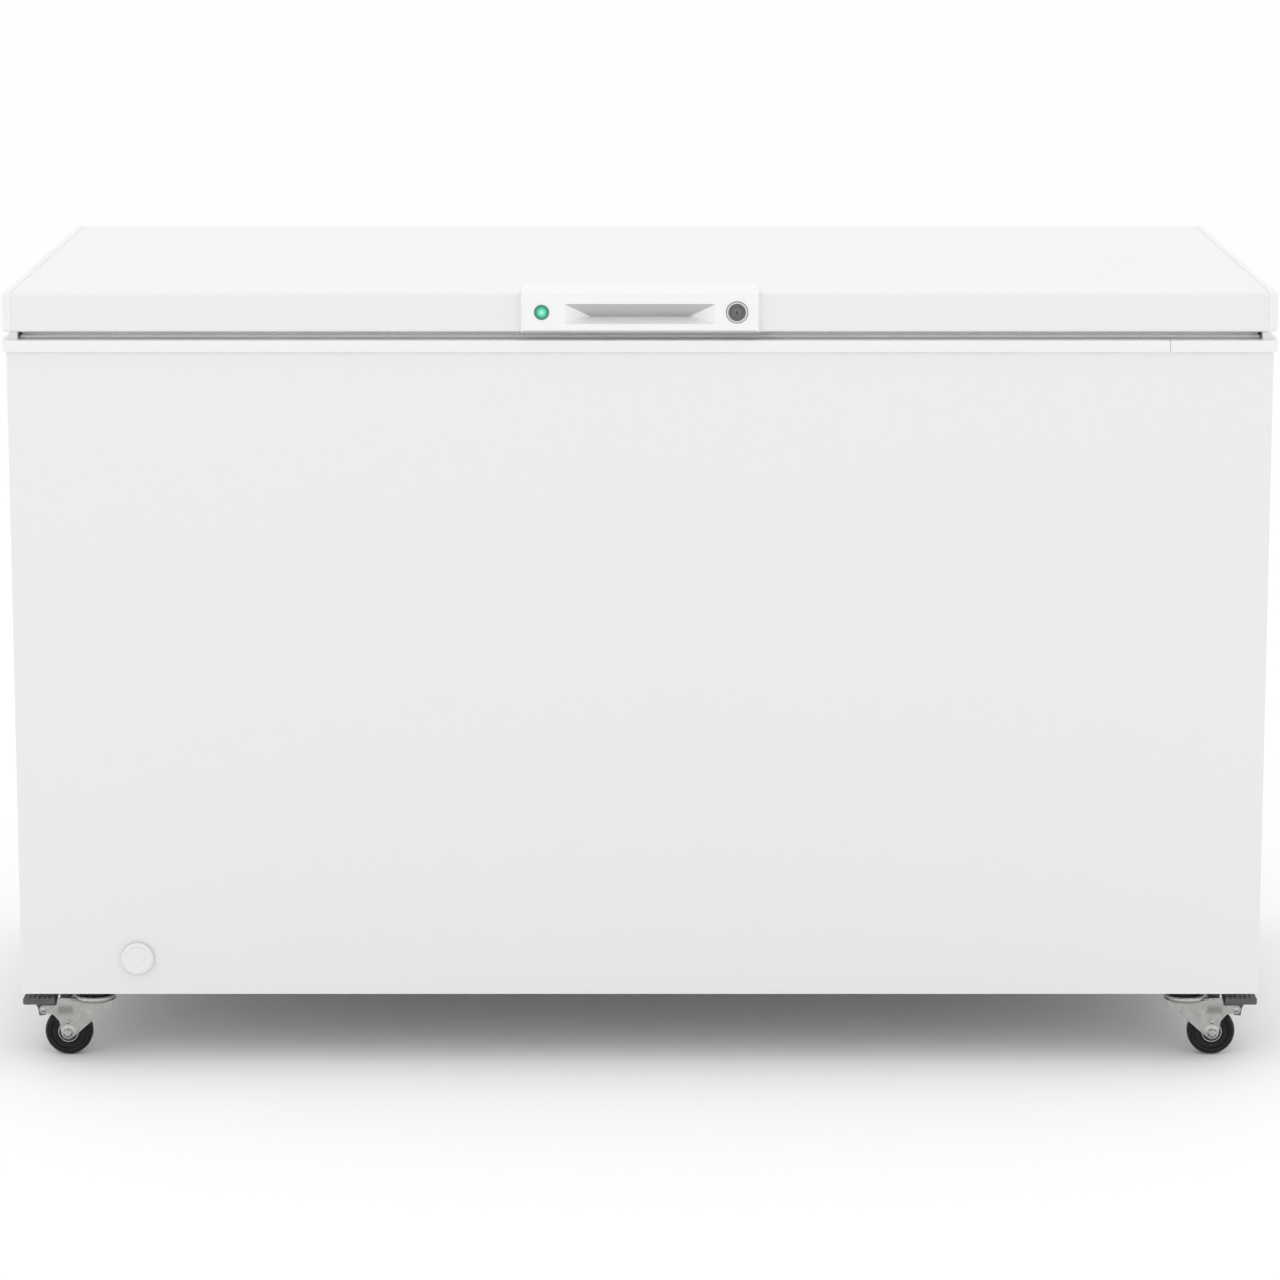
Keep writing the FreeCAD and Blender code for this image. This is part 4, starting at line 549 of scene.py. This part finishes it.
def lidGasket():
    half = gasket["half"]
    profile = half + [(gasket["width"] - inset, height) for inset, height in reversed(half)]
    corners = [(-1, gasket["front"], 1), (1, gasket["front"], 1),
               (1, gasket["back"], -1), (-1, gasket["back"], -1)]
    bm = bmesh.new()
    rings = []
    for hand, y, inward in corners:
        spots = [Vector((hand * (gasket["x"] - inset), y + inward * inset, gasket["foot"] + height))
                 for inset, height in profile]
        rings.append([bm.verts.new(spot * mm) for spot in spots])
    for one, other in zip(rings, rings[1:] + rings[:1]):
        for index in range(len(profile)):
            near = (index + 1) % len(profile)
            bm.faces.new([one[index], one[near], other[near], other[index]])
    bmesh.ops.subdivide_edges(bm, edges=[edge for edge in bm.edges if edge.calc_length() > 0.3], cuts=24,
                              use_grid_fill=True)
    pieceFrom("gasket_bellows", bm, "lid_gasket", angle=50)


lidGasket()


# rear sheet: pressed upright beads and the opening behind the compressor

rear = {"half": 763.5, "low": 92.0, "high": 905.0, "y": 350.3, "sheet": 1.0, "bead": 3.0, "beadHalf": 13.0,
        "beadLines": (-13, -10.5, -8, -5.5, 0, 5.5, 8, 10.5, 13), "ramp": 14.0, "midLines": (500.0, 640.0),
        "left": [-690.0 + 112.0 * index for index in range(11)], "right": [560.0, 672.0],
        "beadLow": 175.0, "shortLow": 380.0, "beadHigh": 780.0, "opening": (500.0, 740.0, 112.0, 330.0)}


def rearRelief(x, z):
    for spots, low in ((rear["left"], rear["beadLow"]), (rear["right"], rear["shortLow"])):
        for spot in spots:
            if abs(x - spot) < rear["beadHalf"]:
                across = 1 - ease(abs(x - spot), 4.0, rear["beadHalf"])
                along = ease(z, low, low + rear["ramp"]) * ease(rear["beadHigh"] - z, 0, rear["ramp"])
                return rear["bead"] * across * along
    return 0.0


def rearSheet():
    half = rear["half"]
    left, right, low, high = rear["opening"]
    outline = [Vector(spot) for spot in ((-half, rear["low"]), (half, rear["low"]), (half, rear["high"]),
                                         (-half, rear["high"]))]
    across = [spot + step for spot in rear["left"] + rear["right"]
              for step in rear["beadLines"]]
    along = [base + rear["ramp"] * step / 4 for step in range(5)
             for base in (rear["beadLow"], rear["shortLow"], rear["beadHigh"] - rear["ramp"])]
    cuts = {0: sorted(across + [left, right]), 2: sorted(along + [low, high, *rear["midLines"]])}
    bm = bmesh.new()
    pressedSheet(bm, outline, cuts, rearRelief, rear["sheet"], lambda co: (co.x, rear["y"] + co.y, co.z),
                 lambda spot: left < spot.x < right and low < spot.z < high)
    pieceFrom("rear_sheet", bm, "rear_panel", angle=35)


rearSheet()
print("sheet and gasket made")


# floor, light and camera

studio = {"floor": (1.0, 1.0, 1.0), "world": (1.0, 1.0, 1.0), "worldStrength": 1.0,
          "keyPower": 9.0, "fillPower": 4.0, "topPower": 6.0}
view = {"back": -5.616, "height": 1.637, "down": 9.62, "lens": 122.9, "shift": -0.13}


def stageFloor():
    bpy.ops.mesh.primitive_grid_add(x_subdivisions=4, y_subdivisions=4, size=60, location=(0, 0, 0))
    floor = bpy.context.object
    floor.name = "studioFloor"
    f = Finish("studioFloor", Roughness=0.75, Specular_IOR_Level=0.2)
    f.put("Base Color", f.blend(f.noise(0.7, 2), shade(studio["floor"], 0.99), studio["floor"]))
    floor.data.materials.append(f.material)


def softLight(name, position, target, size, power):
    light = bpy.data.lights.new(name, "AREA")
    light.shape = "RECTANGLE"
    light.size, light.size_y = size
    light.energy = power
    lamp = bpy.data.objects.new(name, light)
    bpy.context.scene.collection.objects.link(lamp)
    lamp.location = position
    lamp.rotation_euler = (Vector(target) - Vector(position)).to_track_quat("-Z", "Y").to_euler()


def studioWorld():
    world = bpy.data.worlds.new("studioWorld")
    world.use_nodes = True
    background = world.node_tree.nodes["Background"]
    background.inputs[0].default_value = (*studio["world"], 1)
    background.inputs[1].default_value = studio["worldStrength"]
    bpy.context.scene.world = world


def studioCamera():
    camera = bpy.data.objects.new("camera", bpy.data.cameras.new("camera"))
    bpy.context.scene.collection.objects.link(camera)
    camera.data.lens = view["lens"]
    camera.data.shift_y = view["shift"]
    camera.location = (0, view["back"], view["height"])
    camera.rotation_euler = (math.radians(90 - view["down"]), 0, 0)
    bpy.context.scene.camera = camera


stageFloor()
studioWorld()
softLight("keyLight", (-2.6, -3.6, 3.4), (0, 0, 0.5), (3.0, 2.4), studio["keyPower"])
softLight("fillLight", (3.2, -3.4, 2.2), (0, 0, 0.4), (2.6, 2.6), studio["fillPower"])
softLight("topLight", (0, 0.4, 3.6), (0, 0, 0.9), (3.4, 2.4), studio["topPower"])
studioCamera()
bpy.context.scene.view_settings.view_transform = "Standard"
print("studio ready")
